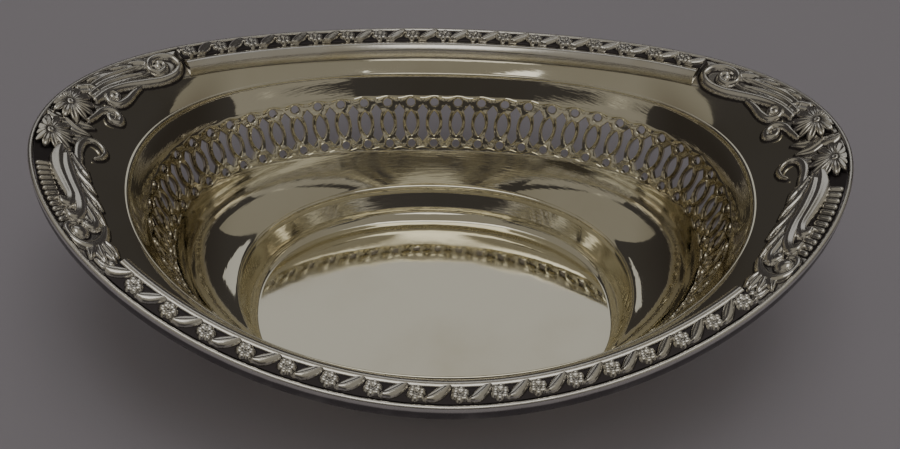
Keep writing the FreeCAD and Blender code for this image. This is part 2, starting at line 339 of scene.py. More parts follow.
class Rim:
    """The rim's outer edge, measured in mm along it from the middle of the right end."""

    def __init__(self):
        self.angles = np.linspace(-math.pi, 3 * math.pi, 2 * TABLE_STEPS + 1)
        edge = ring(EDGE, self.angles)
        lengths = running_lengths(edge[:, :2])
        self.along = lengths - np.interp(0, self.angles, lengths)
        self.whole = lengths[-1] / 2

    def edge(self, along):
        """Points of the edge, and the level direction inwards at each."""
        angle = np.interp(along, self.along, self.angles)
        nudge = 2 * math.pi / TABLE_STEPS
        ahead = unit(ring(EDGE, angle + nudge)[..., :2] - ring(EDGE, angle - nudge)[..., :2])
        return ring(EDGE, angle), np.stack([-ahead[..., 1], ahead[..., 0]], -1)

    def plan(self, along, inward):
        """Plan positions along the edge and inward from it."""
        edge, normal = self.edge(along)
        return edge[..., :2] + normal * np.asarray(inward)[..., None]

    def on_rim(self, flat):
        """Lays (along, inward, up) on the rim."""
        place = self.plan(flat[..., 0], flat[..., 1])
        high = rim_height(place[..., 0], place[..., 1]) + flat[..., 2]
        return np.concatenate([place, high[..., None]], -1)

    def off_edge(self, flat):
        """Lays (along, outward, up) beside the edge."""
        edge, normal = self.edge(flat[..., 0])
        place = edge[..., :2] - normal * flat[..., 1:2]
        return np.concatenate([place, (edge[..., 2] + flat[..., 2])[..., None]], -1)

    def at(self, x, sign):
        """How far along the edge its point with this x is, on the back (+1) or the front (-1)."""
        half = np.linspace(0, math.pi, TABLE_STEPS + 1)
        angle = np.interp(-x, -ring(EDGE, half)[:, 0], half)
        return float(np.interp(sign * angle, self.angles, self.along))


RIM = Rim()
BAND_MIDDLE = between(BAND_LOW, BAND_HIGH, 0.5)

# Where the border's pieces meet: a piece, its left (0) or right (1) end, and whether it lies on the
# back half (+1) or the front half (-1).
SEAMS = {
    "front_seam": ("front_right_border", 0, -1),
    "back_seam": ("back_right_border", 0, 1),
    "right_front": ("front_right_border", 1, -1),
    "right_back": ("back_right_border", 1, 1),
    "left_front": ("front_left_border", 0, -1),
    "left_back": ("back_left_border", 0, 1),
}


def seams():
    """How far along the edge each seam is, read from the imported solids."""
    places = {}
    for name, (node, side, half) in SEAMS.items():
        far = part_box(node)[side].x / MM
        places[name] = RIM.at(far, half)
    return places


# meshes


class Skin:
    """Points in mm, the faces between them, and how bare each point is: dark oxide in hollows, painted shade
    beside ridges and on the sides of the strip and the wire, bright where it stands up.
    """

    def __init__(self):
        self.points = []
        self.faces = []
        self.relief = []
        self.count = 0

    def add(self, points, faces, relief=1.0):
        points = np.asarray(points, float).reshape(-1, 3)
        self.faces += [tuple(i + self.count for i in face) for face in faces]
        self.points.append(points)
        self.relief.append(np.broadcast_to(relief, len(points)))
        self.count += len(points)


def grid_faces(rows, columns, closed):
    """Quads of a grid of points whose rows follow each other."""
    faces = []
    last = columns if closed else columns - 1
    for r in range(rows - 1):
        for c in range(last):
            n = (c + 1) % columns
            faces.append((r * columns + c, (r + 1) * columns + c, (r + 1) * columns + n, r * columns + n))
    return faces


def placed(name, data):
    """A new object in the scene."""
    made = bpy.data.objects.new(name, data)
    bpy.context.scene.collection.objects.link(made)
    return made


def skin_mesh(name, skin, scale):
    """A mesh with a skin's points, faces and relief."""
    mesh = bpy.data.meshes.new(name)
    mesh.from_pydata((np.concatenate(skin.points) * scale).tolist(), [], skin.faces)
    # The relief attribute carries bareness: oxide in hollows and painted shade.
    relief = mesh.attributes.new("relief", "FLOAT", "POINT")
    relief.data.foreach_set("value", np.concatenate(skin.relief).astype(np.float32))
    return mesh


def new_piece(name, skin, material, sharp=50):
    """A smooth closed mesh object from a skin, its doubles merged and its faces outward."""
    doubles = 2e-6
    mesh = skin_mesh(name, skin, MM)
    work = bmesh.new()
    work.from_mesh(mesh)
    bmesh.ops.remove_doubles(work, verts=work.verts, dist=doubles)
    loose = [v for v in work.verts if not v.link_faces]
    bmesh.ops.delete(work, geom=loose, context="VERTS")
    bmesh.ops.recalc_face_normals(work, faces=work.faces)
    work.to_mesh(mesh)
    work.free()
    mesh.polygons.foreach_set("use_smooth", [True] * len(mesh.polygons))
    mesh.set_sharp_from_angle(angle=math.radians(sharp))
    mesh.materials.append(material)
    return placed(name, mesh)


def stand_in(name, skin):
    """A small shape in mm that Geometry Nodes repeat."""
    return bpy.data.objects.new(name, skin_mesh(name, skin, 1))


def put(tree, socket, value):
    """Links an input to a socket, or sets it to a value."""
    if isinstance(value, bpy.types.NodeSocket):
        tree.links.new(value, socket)
    else:
        socket.default_value = value


def set_inputs(tree, made, **links):
    """Links a node's named inputs to sockets, or sets them to values."""
    for name, value in links.items():
        put(tree, made.inputs[name.replace("_", " ")], value)


def node(tree, kind, **links):
    """A new node whose named inputs are linked to sockets or set to values."""
    made = tree.nodes.new(kind)
    set_inputs(tree, made, **links)
    return made


def arithmetic(tree, operation, *values):
    """The result of a sum, a product or the like of sockets and numbers."""
    made = tree.nodes.new("ShaderNodeMath")
    made.operation = operation
    for socket, value in zip(made.inputs, values):
        put(tree, socket, value)
    return made.outputs[0]


def repeating_tree(name, in_ring):
    """Copies of a shape on a straight row, or on a ring, made real and given their material."""
    tree = bpy.data.node_groups.new(name, "GeometryNodeTree")
    tree.interface.new_socket("Geometry", in_out="OUTPUT", socket_type="NodeSocketGeometry")
    for label, kind in (("Shape", "Object"), ("Count", "Int"), ("Spacing", "Float"), ("Unevenness", "Float"),
                        ("Finish", "Material")):
        tree.interface.new_socket(label, in_out="INPUT", socket_type="NodeSocket" + kind)
    given = tree.nodes.new("NodeGroupInput").outputs
    shape = node(tree, "GeometryNodeObjectInfo", Object=given["Shape"])
    if in_ring:
        places = node(tree, "GeometryNodeMeshCircle", Vertices=given["Count"], Radius=given["Spacing"])
        number = tree.nodes.new("GeometryNodeInputIndex").outputs[0]
        step = arithmetic(tree, "DIVIDE", 2 * math.pi, given["Count"])
        turn = arithmetic(tree, "MULTIPLY", number, step)
        facing = node(tree, "ShaderNodeCombineXYZ", Z=turn).outputs[0]
    else:
        offset = node(tree, "ShaderNodeCombineXYZ", X=given["Spacing"])
        places = node(tree, "GeometryNodeMeshLine", Count=given["Count"], Offset=offset.outputs[0])
        facing = (0, 0, 0)
    random = node(tree, "FunctionNodeRandomValue", Seed=7)
    random.data_type = "FLOAT"
    smallest, largest = random.inputs[2:4]
    put(tree, smallest, arithmetic(tree, "SUBTRACT", 1.0, given["Unevenness"]))
    put(tree, largest, 1.0)
    copies = node(tree, "GeometryNodeInstanceOnPoints", Points=places.outputs[0],
                  Instance=shape.outputs["Geometry"], Rotation=facing, Scale=random.outputs[1])
    real = node(tree, "GeometryNodeRealizeInstances", Geometry=copies.outputs[0])
    done = node(tree, "GeometryNodeSetMaterial", Geometry=real.outputs[0], Material=given["Finish"])
    tree.links.new(done.outputs[0], tree.nodes.new("NodeGroupOutput").inputs[0])
    return tree


def repeated(tree, shape, count, spacing, finish, unevenness=0.0):
    """The plain mesh that a repeating tree makes, as points, faces and relief."""
    host = placed(shape.name + "_row", bpy.data.meshes.new("row"))
    nodes = host.modifiers.new("Repeat", "NODES")
    nodes.node_group = tree
    wanted = {"Shape": shape, "Count": count, "Spacing": spacing, "Unevenness": unevenness, "Finish": finish}
    for item in tree.interface.items_tree:
        if item.in_out == "INPUT":
            nodes[item.identifier] = wanted[item.name]
    host.update_tag()
    graph = bpy.context.evaluated_depsgraph_get()
    mesh = bpy.data.meshes.new_from_object(host.evaluated_get(graph))
    points = np.zeros(len(mesh.vertices) * 3)
    mesh.vertices.foreach_get("co", points)
    relief = np.zeros(len(mesh.vertices))
    mesh.attributes["relief"].data.foreach_get("value", relief)
    faces = [tuple(p.vertices) for p in mesh.polygons]
    bpy.data.objects.remove(host)
    bpy.data.objects.remove(shape)
    if not faces:
        raise RuntimeError("the repeating tree made no faces")
    return points.reshape(-1, 3), faces, relief


# the bowl


def wall_rows(steps):
    """Levels of the lower wall between the ridge and the piercing."""
    return [tuple(level) for level in curved((RIDGE, HAUNCH, BAND_LOW), np.arange(1, steps) / steps)]


def bowl_rows():
    """Levels of the inner face below and above the piercing, each with a lift off the surface."""
    sizes = bpy.context.scene.dish_bowl
    low = [tuple(np.array(FLOOR) * (share, share, 1, 1, 1)) for share in FLOOR_SHARES]
    low += [FLOOR, STEP_BEAD, STEP_LEDGE, STEP] + [between(STEP, COVE, share) for share in STEP_SHARES]
    low = [level + (0,) for level in low]
    low += [between(COVE, RIDGE, share) + (sizes.ridge_rise * up,) for share, up in BEAD_SHARES]
    low += [level + (0,) for level in wall_rows(2 * CURVE_STEPS) + [BAND_LOW]]
    high = [BAND_HIGH + (0,)]
    high += [between(BAND_HIGH, COLLAR, share) + (sizes.line_rise * up,) for share, up in COLLAR_SHARES]
    high += [tuple(rim(share)) + (sizes.line_rise * up,) for share, up in FLANGE_SHARES]
    high += [tuple(level) + (0,) for level in rim(np.linspace(PLAIN_FLANGE_SHARE, 1, 2 * RIM_STEPS))]
    return rounded(low, 2), rounded(high, 1)


def outer_rows():
    """Levels of the outer face below and above the piercing, one sheet away from the inner face."""
    inner = [FLOOR, STEP_BEAD, STEP_LEDGE, STEP, COVE, RIDGE] + wall_rows(CURVE_STEPS)
    below = len(inner) - 1
    inner += [BAND_LOW, BAND_HIGH] + [tuple(level) for level in rim(np.arange(RIM_STEPS + 1) / RIM_STEPS)]
    outer = []
    for before, level, after in zip(inner, inner[1:], inner[2:]):
        end = unit(np.array([after[0] - before[0], after[2] + after[3] - before[2] - before[3]]))
        side = unit(np.array([after[1] - before[1], after[2] - before[2]]))
        outer.append((level[0] + SHEET * end[1], level[1] + SHEET * side[1], level[2] - SHEET * side[0],
                      level[3] + SHEET * (side[0] - end[0]), level[4]))
    long, wide, full = FLOOR[0], FLOOR[1], FLOOR[4]
    under = [(long * share + SHEET, wide * share + SHEET, 0, 0, full) for share in UNDERSIDE_SHARES]
    under_edge = EDGE[:2] + (EDGE[2] - SHEET,) + EDGE[3:]
    return rounded(under + outer[:below], 1), rounded(outer[below + 2:] + [under_edge], 1)


def lifted(grid, lifts):
    """A grid of wall points moved along the wall's own normal, towards the inside of the dish."""
    along = np.roll(grid, -1, 1) - np.roll(grid, 1, 1)
    up = np.gradient(grid, axis=0)
    return grid + unit(np.cross(up, along)) * np.asarray(lifts)[:, None, None]


def on_band(flat):
    """Bends (along, up, out) of the rolled-out piercing on to the wall."""
    angle = even_angles(BAND_MIDDLE, (flat[:, 0] - 0.5) / PIERCED_CELLS % 1)
    nudge = 1e-4
    share = (flat[:, 1] / BAND_TALL)[:, None]
    low, high = ring(BAND_LOW, angle), ring(BAND_HIGH, angle)
    ahead = ring(BAND_LOW, angle + nudge) * (1 - share) + ring(BAND_HIGH, angle + nudge) * share
    here = low * (1 - share) + high * share
    normal = unit(np.cross(high - low, ahead - here))
    return here + normal * flat[:, 2:3]


def pointed_oval(x, y, half_wide, half_tall, steps):
    """Two arcs that meet in a point at the top and at the bottom."""
    radius = (half_wide ** 2 + half_tall ** 2) / (2 * half_wide)
    turn = math.asin(half_tall / radius)
    right = [(x + radius * math.cos(t) - radius + half_wide, y + radius * math.sin(t))
             for t in np.linspace(-turn, turn, steps + 1)]
    left = [(2 * x - px, 2 * y - py) for px, py in right]
    return right[:-1] + left[:-1]


def circle(x, y, radius, steps):
    turns = np.arange(steps) * 2 * math.pi / steps
    return [(x + radius * math.cos(t), y + radius * math.sin(t)) for t in turns]


def hourglass_side(x, sign, grow):
    """One side of an hourglass hole, from its bottom tip to its top tip."""
    tip = HOURGLASS_TIP + grow * HOURGLASS_TIP_SHARE
    shoulder = HOURGLASS_SHOULDER + grow * SHOULDER_SHARE
    wide, waist = HOURGLASS_WIDE + grow, HOURGLASS_WAIST + grow
    upper = [(wide, shoulder), (wide * HOURGLASS_TAPER_SHARE, (tip + shoulder) / 2), (0, tip)]
    path = [(px, -py) for px, py in upper[::-1]]
    turns = np.linspace(-1, 1, HOURGLASS_STEPS + 1)[1:-1]
    path += [(waist + (wide - waist) * t * t, shoulder * t) for t in turns]
    return [(x + sign * px, BAND_TALL / 2 + py) for px, py in path + upper]


def inside(points, loop):
    """Which points lie inside a closed loop."""
    loop = np.array(loop)
    x, y = points[:, 0][:, None], points[:, 1][:, None]
    ax, ay = loop[:, 0], loop[:, 1]
    bx, by = np.roll(ax, -1), np.roll(ay, -1)
    with np.errstate(divide="ignore", invalid="ignore"):
        crossed = ((ay > y) != (by > y)) & (x < (bx - ax) * (y - ay) / (by - ay) + ax)
    return crossed.sum(1) % 2 == 1


class CellDrawing:
    """Points of the rolled-out cell, how far each stands up, and the lines and holes between them."""

    def __init__(self):
        self.points = []
        self.heights = []
        self.lines = []
        self.holes = []

    def trace(self, path, up, closed=False):
        """Adds a line through places that stand up equally far."""
        start, count = len(self.points), len(path)
        self.points += path
        self.heights += [up] * count
        self.lines += [(start + i, start + i + 1) for i in range(count - 1)]
        if closed:
            self.lines.append((start + count - 1, start))

    def round_holes(self, sizes):
        """An oval hole and two dots with rings round them."""
        x, y = CELL_WIDE / 2, BAND_TALL / 2
        for grow, up in COLLAR_STEPS:
            wide, tall = sizes.oval_width / 2 + grow, sizes.oval_height / 2 + grow * OVAL_TIP_SHARE
            oval = pointed_oval(x, y, wide, tall, OVAL_STEPS)
            radius = sizes.dot_diameter / 2 + DOT_RIM_SHARE * grow
            dots = [circle(x, y + side * (y - DOT_FROM_EDGE), radius, DOT_STEPS) for side in (-1, 1)]
            for loop in [oval] + dots:
                self.trace(loop, up * sizes.collar_rise, closed=True)
                if grow == 0:
                    self.holes.append(loop)

    def hourglasses(self, rise):
        """Half of an hourglass hole on each side."""
        for x, sign in ((0, 1), (CELL_WIDE, -1)):
            for grow, up in HOURGLASS_COLLAR_STEPS:
                self.trace(hourglass_side(x, sign, grow), up * rise)
            self.holes.append(hourglass_side(x, sign, 0) + hourglass_side(x, -sign, 0)[::-1])

    def scallops(self, rise):
        """A scalloped line below the holes and one above them."""
        steps = 2 * COLUMNS_PER_CELL
        middle = BAND_TALL / 2
        for across, share in SCALLOP_STEPS:
            for side, up in ((-1, LOW_SCALLOP_SHARE), (1, HIGH_SCALLOP_SHARE)):
                path = []
                for i in range(steps + 1):
                    wave = SCALLOP * (1 - math.cos(2 * math.pi * i / steps)) / 2
                    y = middle + side * (middle - SCALLOP_FROM_EDGE + wave + across)
                    path.append((CELL_WIDE * i / steps, y))
                self.trace(path, up * rise * share)


def pierced_cell():
    """One rolled-out cell of the piercing: its points, how far they stand up, and its triangles."""
    sizes = bpy.context.scene.dish_bowl
    drawing = CellDrawing()
    columns = range(COLUMNS_PER_CELL + 1)
    drawing.points = [(CELL_WIDE * i / COLUMNS_PER_CELL, y) for y in (0, BAND_TALL) for i in columns]
    drawing.heights = [0.0] * len(drawing.points)
    drawing.round_holes(sizes)
    drawing.hourglasses(sizes.collar_rise)
    drawing.scallops(sizes.collar_rise)
    places = [(float(x), float(y)) for x, y in drawing.points]
    coords, _, triangles, origins, _, _ = delaunay_2d_cdt(places, drawing.lines, [], 0, CELL_MERGE)
    flat = np.array([tuple(p) for p in coords])
    # A point made where two lines cross has no origin among the points, and stands halfway up.
    up = np.array([drawing.heights[o[0]] if o else sizes.collar_rise / 2 for o in origins])
    faces = np.array(triangles)
    middles = flat[faces].mean(1)
    for hole in drawing.holes:
        solid = ~inside(middles, hole)
        faces, middles = faces[solid], middles[solid]
    a, b = flat[faces[:, 1]] - flat[faces[:, 0]], flat[faces[:, 2]] - flat[faces[:, 0]]
    faces = faces[np.abs(a[:, 0] * b[:, 1] - a[:, 1] * b[:, 0]) > NO_AREA]
    return flat, up, faces.tolist()


def cell_skin():
    """The cell as a piece of sheet: its two faces and the walls of its holes."""
    flat, up, faces = pierced_cell()
    n = len(flat)
    front = np.column_stack([flat[:, 0] / CELL_WIDE, flat[:, 1], up])
    back = np.column_stack([flat[:, 0] / CELL_WIDE, flat[:, 1], np.full(n, -SHEET)])
    uses = {}
    for face in faces:
        for a, b in zip(face, face[1:] + face[:1]):
            uses.setdefault((min(a, b), max(a, b)), []).append((a, b))
    # An edge that one triangle uses is the rim of a hole, unless it lies on the cell's own border.
    from_border = np.abs(np.stack([flat, flat - (CELL_WIDE, BAND_TALL)]))
    border = (from_border < ON_BORDER).any(0)
    walls = []
    for used in uses.values():
        a, b = used[0]
        if len(used) == 1 and not (border[a] & border[b]).any():
            walls.append((b, a, a + n, b + n))
    skin = Skin()
    faces = [tuple(f) for f in faces] + [tuple(i + n for i in f[::-1]) for f in faces] + walls
    skin.add(np.concatenate([front, back]), faces)
    return skin


def make_bowl():
    columns = PIERCED_CELLS * COLUMNS_PER_CELL
    angles = even_angles(BAND_MIDDLE, np.arange(columns) / columns)
    skin = Skin()
    low, high = bowl_rows()
    low_grid = lifted(rings(low, angles), low[:, 5])
    high_grid = lifted(rings(high, angles), high[:, 5])
    low_out, high_out = [rings(rows, angles) for rows in outer_rows()]
    shares = np.arange(columns) / COLUMNS_PER_CELL + 0.5
    seam_low = on_band(np.column_stack([shares, np.zeros(columns), np.full(columns, -SHEET)]))
    seam_high = on_band(np.column_stack([shares, np.full(columns, BAND_TALL), np.full(columns, -SHEET)]))
    low_out = np.concatenate([low_out, seam_low[None]])
    high_out = np.concatenate([seam_high[None], high_out, high_grid[-1:]])
    for grid in (low_grid, high_grid, low_out, high_out):
        skin.add(grid, grid_faces(len(grid), columns, True))
    for grid, z in ((low_grid, FLOOR[2]), (low_out, 0.0)):
        fan = [(c, (c + 1) % columns, columns) for c in range(columns)]
        skin.add(np.concatenate([grid[0], [(0, 0, z)]]), fan)
    finish = polished_sheet()
    tree = repeating_tree("Pierced cells in a row", False)
    flat, faces, _ = repeated(tree, stand_in("pierced_cell", cell_skin()), PIERCED_CELLS, 1.0, finish)
    skin.add(on_band(flat), faces)
    bowl = new_piece("pierced_bowl", skin, finish)
    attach(bowl, BODY)
    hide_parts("bowl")


# relief work


def through(points, per=7):
    """A smooth line through points."""
    points = np.array(points, float)
    full = np.concatenate([2 * points[:1] - points[1:2], points, 2 * points[-1:] - points[-2:-1]])
    line = []
    for a, b, c, d in zip(full, full[1:], full[2:], full[3:]):
        for t in np.arange(per) / per:
            bend = (2 * a - 5 * b + 4 * c - d) * t * t + (3 * b - a - 3 * c + d) * t ** 3
            line.append(0.5 * (2 * b + (c - a) * t + bend))
    return np.array(line + [points[-1]])


class Relief:
    """A height field over a grid of plan places, on which ridges, lobes and beads are raised."""

    def __init__(self, plan, ground):
        self.plan = plan
        self.ground = ground
        self.height = np.zeros(plan.shape[:2])
        self.cover = np.full(plan.shape[:2], -FAR)
        self.clear = np.full(plan.shape[:2], FAR)

    def nearest(self, line, reach):
        """Which places are near a line, and their distance, share of the way along and side."""
        low, high = line.min(0) - reach, line.max(0) + reach
        near = ((self.plan > low) & (self.plan < high)).all(-1)
        spots = self.plan[near]
        best = np.full(len(spots), 1e9)
        share = np.zeros(len(spots))
        side = np.zeros(len(spots))
        lengths = running_lengths(line)
        for i in range(len(line) - 1):
            a, step = line[i], line[i + 1] - line[i]
            size = max((step ** 2).sum(), 1e-12)
            t = np.clip(((spots - a) @ step) / size, 0, 1)
            gap = spots - a - t[:, None] * step
            far = np.hypot(gap[:, 0], gap[:, 1])
            closer = far < best
            best = np.where(closer, far, best)
            way = (lengths[i] + t * (lengths[i + 1] - lengths[i])) / lengths[-1]
            share = np.where(closer, way, share)
            side = np.where(closer, np.sign(step[0] * gap[:, 1] - step[1] * gap[:, 0]), side)
        return near, best, share, side

    def ridge(self, line, widths, height, hollow):
        """Raises a rounded ridge along a line. A hollow scoops its left side."""
        widths = np.array(widths, float)
        near, far, share, side = self.nearest(line, widths.max() + CONTACT_SHADE_REACH)
        wide = np.interp(share, np.linspace(0, 1, len(widths)), widths)
        across = np.clip(far / wide, 0, 1)
        swell = np.minimum(1, SWELL_STEEP * np.sqrt(np.clip(wide / widths.max(), 0, 1)) - SWELL_LESS)
        up = height * swell * np.sqrt(1 - across ** 2)
        left = np.where(side > 0, across, -across)
        up *= 1 - hollow * np.exp(-((left - HOLLOW_PLACE_SHARE) / HOLLOW_WIDE_SHARE) ** 2)
        self.height[near] = np.maximum(self.height[near], up)
        self.cover[near] = np.maximum(self.cover[near], wide + SKIRT - far)
        self.clear[near] = np.minimum(self.clear[near], far - wide)

    def gap(self, centre):
        """How far each place is from a centre."""
        return np.hypot(*(self.plan - centre).transpose(2, 0, 1))

    def ball(self, centre, radius, height):
        """Raises a round knob."""
        gap = self.gap(centre)
        up = height * np.sqrt(np.clip(1 - (gap / radius) ** 2, 0, 1))
        self.height = np.maximum(self.height, up)
        self.cover = np.maximum(self.cover, radius + SKIRT - gap)
        self.clear = np.minimum(self.clear, gap - radius)

    def dimple(self, centre, radius, depth):
        """Sinks a soft hollow, no deeper than the ground."""
        dent = depth * np.exp(-(self.gap(centre) / radius) ** 2)
        self.height = np.maximum(self.height - dent, 0)

    def surface(self):
        """Heights above the rim: the covered part stands on the ground, the rest sinks away."""
        edge = np.clip(self.cover / SKIRT, 0, 1)
        ground = self.ground * (1 - (1 - edge) ** 2)
        return np.where(self.cover > 0, ground + self.height, np.maximum(self.cover, -SKIRT))

    def shade(self, plate):
        """How bare the silver is: bright on what stands up, darkened by painted contact shadow beside it,
        plain on the plate.
        """
        # Painted contact shadow: the plain plate darkens near each ridge.
        plain = plate * np.clip(self.clear / CONTACT_SHADE_REACH, 0, 1)
        around = sum(np.roll(self.height, step, axis) for axis in (0, 1) for step in (1, -1))
        crease = np.clip((around - 4 * self.height) / CREASE, 0, DARKEST_CREASE)
        return np.maximum(np.clip(self.height / BARE_HEIGHT, 0, 1), plain) * (1 - crease)


# side borders


def rosette(field, centre, high):
    """A compact ring of round petals, each with a dent, and a hole in its middle."""
    sizes = bpy.context.scene.dish_border
    turns = np.arange(sizes.rosette_petals) * 2 * math.pi / sizes.rosette_petals + ROSETTE_TURN
    petals = list(centre + sizes.rosette_radius * np.stack([np.cos(turns), np.sin(turns)], -1))
    parts = ((field.ball, petals, ROSETTE_PETAL), (field.ball, [centre], ROSETTE_HEART),
             (field.dimple, [centre], ROSETTE_HOLE), (field.dimple, petals, ROSETTE_DENT))
    for shape, places, (radius, share) in parts:
        for place in places:
            shape(place, radius, share * high)


def strip_profile(inward):
    """Height of the strip's ground and lip over the rim, from the outer edge inwards."""
    sizes = bpy.context.scene.dish_border
    ground = sizes.strip_width - sizes.lip_width
    slope = sizes.outer_rise + (sizes.inner_rise - sizes.outer_rise) * np.clip(inward / ground, 0, 1)
    on_lip = np.clip((inward - ground) / sizes.lip_width, 0, 1)
    turn = on_lip * math.pi * LIP_TURN_SHARE + LIP_FROM_SHARE * math.pi
    lip = sizes.inner_rise + (sizes.lip_rise - sizes.inner_rise) * (np.sin(turn) * 2 - 1)
    return slope, lip, inward > ground


def motif_field(pitch):
    """Heights of one motif: a slanted leaf and a rosette on a ground that slopes to a plain lip."""
    sizes = bpy.context.scene.dish_border
    along = np.linspace(0, pitch, MOTIF_COLUMNS)
    inward = np.linspace(0, sizes.strip_width, MOTIF_ROWS)
    plan = np.stack(np.meshgrid(along, inward), -1)
    field = Relief(plan, 0)
    ground = sizes.strip_width - sizes.lip_width
    for turn in (-1, 0, 1):
        leaf = through([(turn * pitch + share * pitch, ground * deep) for share, deep in LEAF_SHARES])
        field.ridge(leaf, LEAF_WIDTHS, sizes.relief, LEAF_HOLLOW)
    for turn in (-1, 0, 1):
        rosette(field, np.array([(turn + ROSETTE_SHARE) * pitch, ground * ROSETTE_IN_SHARE]), sizes.relief)
    slope, lip, on_lip = strip_profile(plan[..., 1])
    past_ground = plan[..., 1] - ground
    groove = GROOVE_DEEP * np.exp(-(past_ground / GROOVE_WIDE) ** 2)
    height = np.where(on_lip, lip, slope + field.height) - groove
    shade = np.where(on_lip, np.clip(past_ground / LIP_DARK, 0, 1), field.shade(0.0))
    height[-1] = height[-2] - LIP_DROP
    return plan, height, shade


def motif_skin(pitch):
    """The motif as a slab that is open at its two ends, and how many rows of points go round it."""
    plan, height, shade = motif_field(pitch)
    top = np.dstack([plan, height])
    under = top[[0, -1]].copy()
    under[..., 2] = BORDER_SINK
    loop = np.concatenate([under[:1], top, under[1:]])
    below = np.zeros(MOTIF_COLUMNS)
    # The strip's inner side fades down to painted shade.
    shade = np.concatenate([[below], shade, [below + INNER_SIDE_SHADE]])
    faces = grid_faces(len(loop), MOTIF_COLUMNS, False)
    last = (len(loop) - 1) * MOTIF_COLUMNS
    faces += [(c, c + 1, last + c + 1, last + c) for c in range(MOTIF_COLUMNS - 1)]
    skin = Skin()
    skin.add(loop, faces, shade.ravel())
    return skin, len(loop)


def make_side_border(name, start, end, count, tree, finish):
    pitch = (end - start) / count
    skin, rows = motif_skin(pitch)
    flat, faces, relief = repeated(tree, stand_in(name + "_motif", skin), count, pitch, finish)
    last = (rows * count - rows + 1) * MOTIF_COLUMNS - 1
    caps = [tuple(r * MOTIF_COLUMNS for r in range(rows)),
            tuple(last + r * MOTIF_COLUMNS for r in range(rows))[::-1]]
    flat[:, 0] += start
    whole = Skin()
    whole.add(RIM.on_rim(flat), faces + caps, relief)
    border = new_piece(name + "_leaves", whole, finish, sharp=70)
    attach(border, BODY)
    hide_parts(name)


# end pieces

# Places on the end piece are (along, inward) in mm from the outer edge's middle, where minus is
# towards the front. The marks pair places along the right piece with places along the left one.
# END_DEEP is how far inwards the relief is worked out. It is held BELOW_TOP under the top of the
# solids. Places of its underside nearer than SAME_PLACE count as one.
END_FROM, END_TO = -46.3, 44.0
LEFT_MARKS = ((-34.8, -24.2), (-12.8, -6.3), (-3.6, 3.8), (9.8, 14.6), (24.5, 29.0))
END_DEEP = 13.4
BELOW_TOP = 0.03
SAME_PLACE = 1e-6

# The relief's shell ends where it lies this far below the rim, and its underside lies lower, both in
# shares of the skirt.
SHOWN_SHARE, UNDER_SHARE = -0.8, -1.2

# The plate under the relief: its inner edge, how bare it is, and how far in it is dark beside the
# flutes.
PLATE_EDGE = [(-46.3, 6.3), (-41, 6.4), (-37, 7.4), (-33, 8.2), (-28, 7.0), (-20, 6.5), (-12, 6.5), (-6, 7.0),
              (0, 6.4), (4, 7.0), (9, 7.4), (14, 6.4), (18, 5.4), (24, 5.0), (31, 5.6), (38, 6.2), (44, 6.3)]
PLATE_BARE = 0.62
PLATE_DARK_TO = 4.6

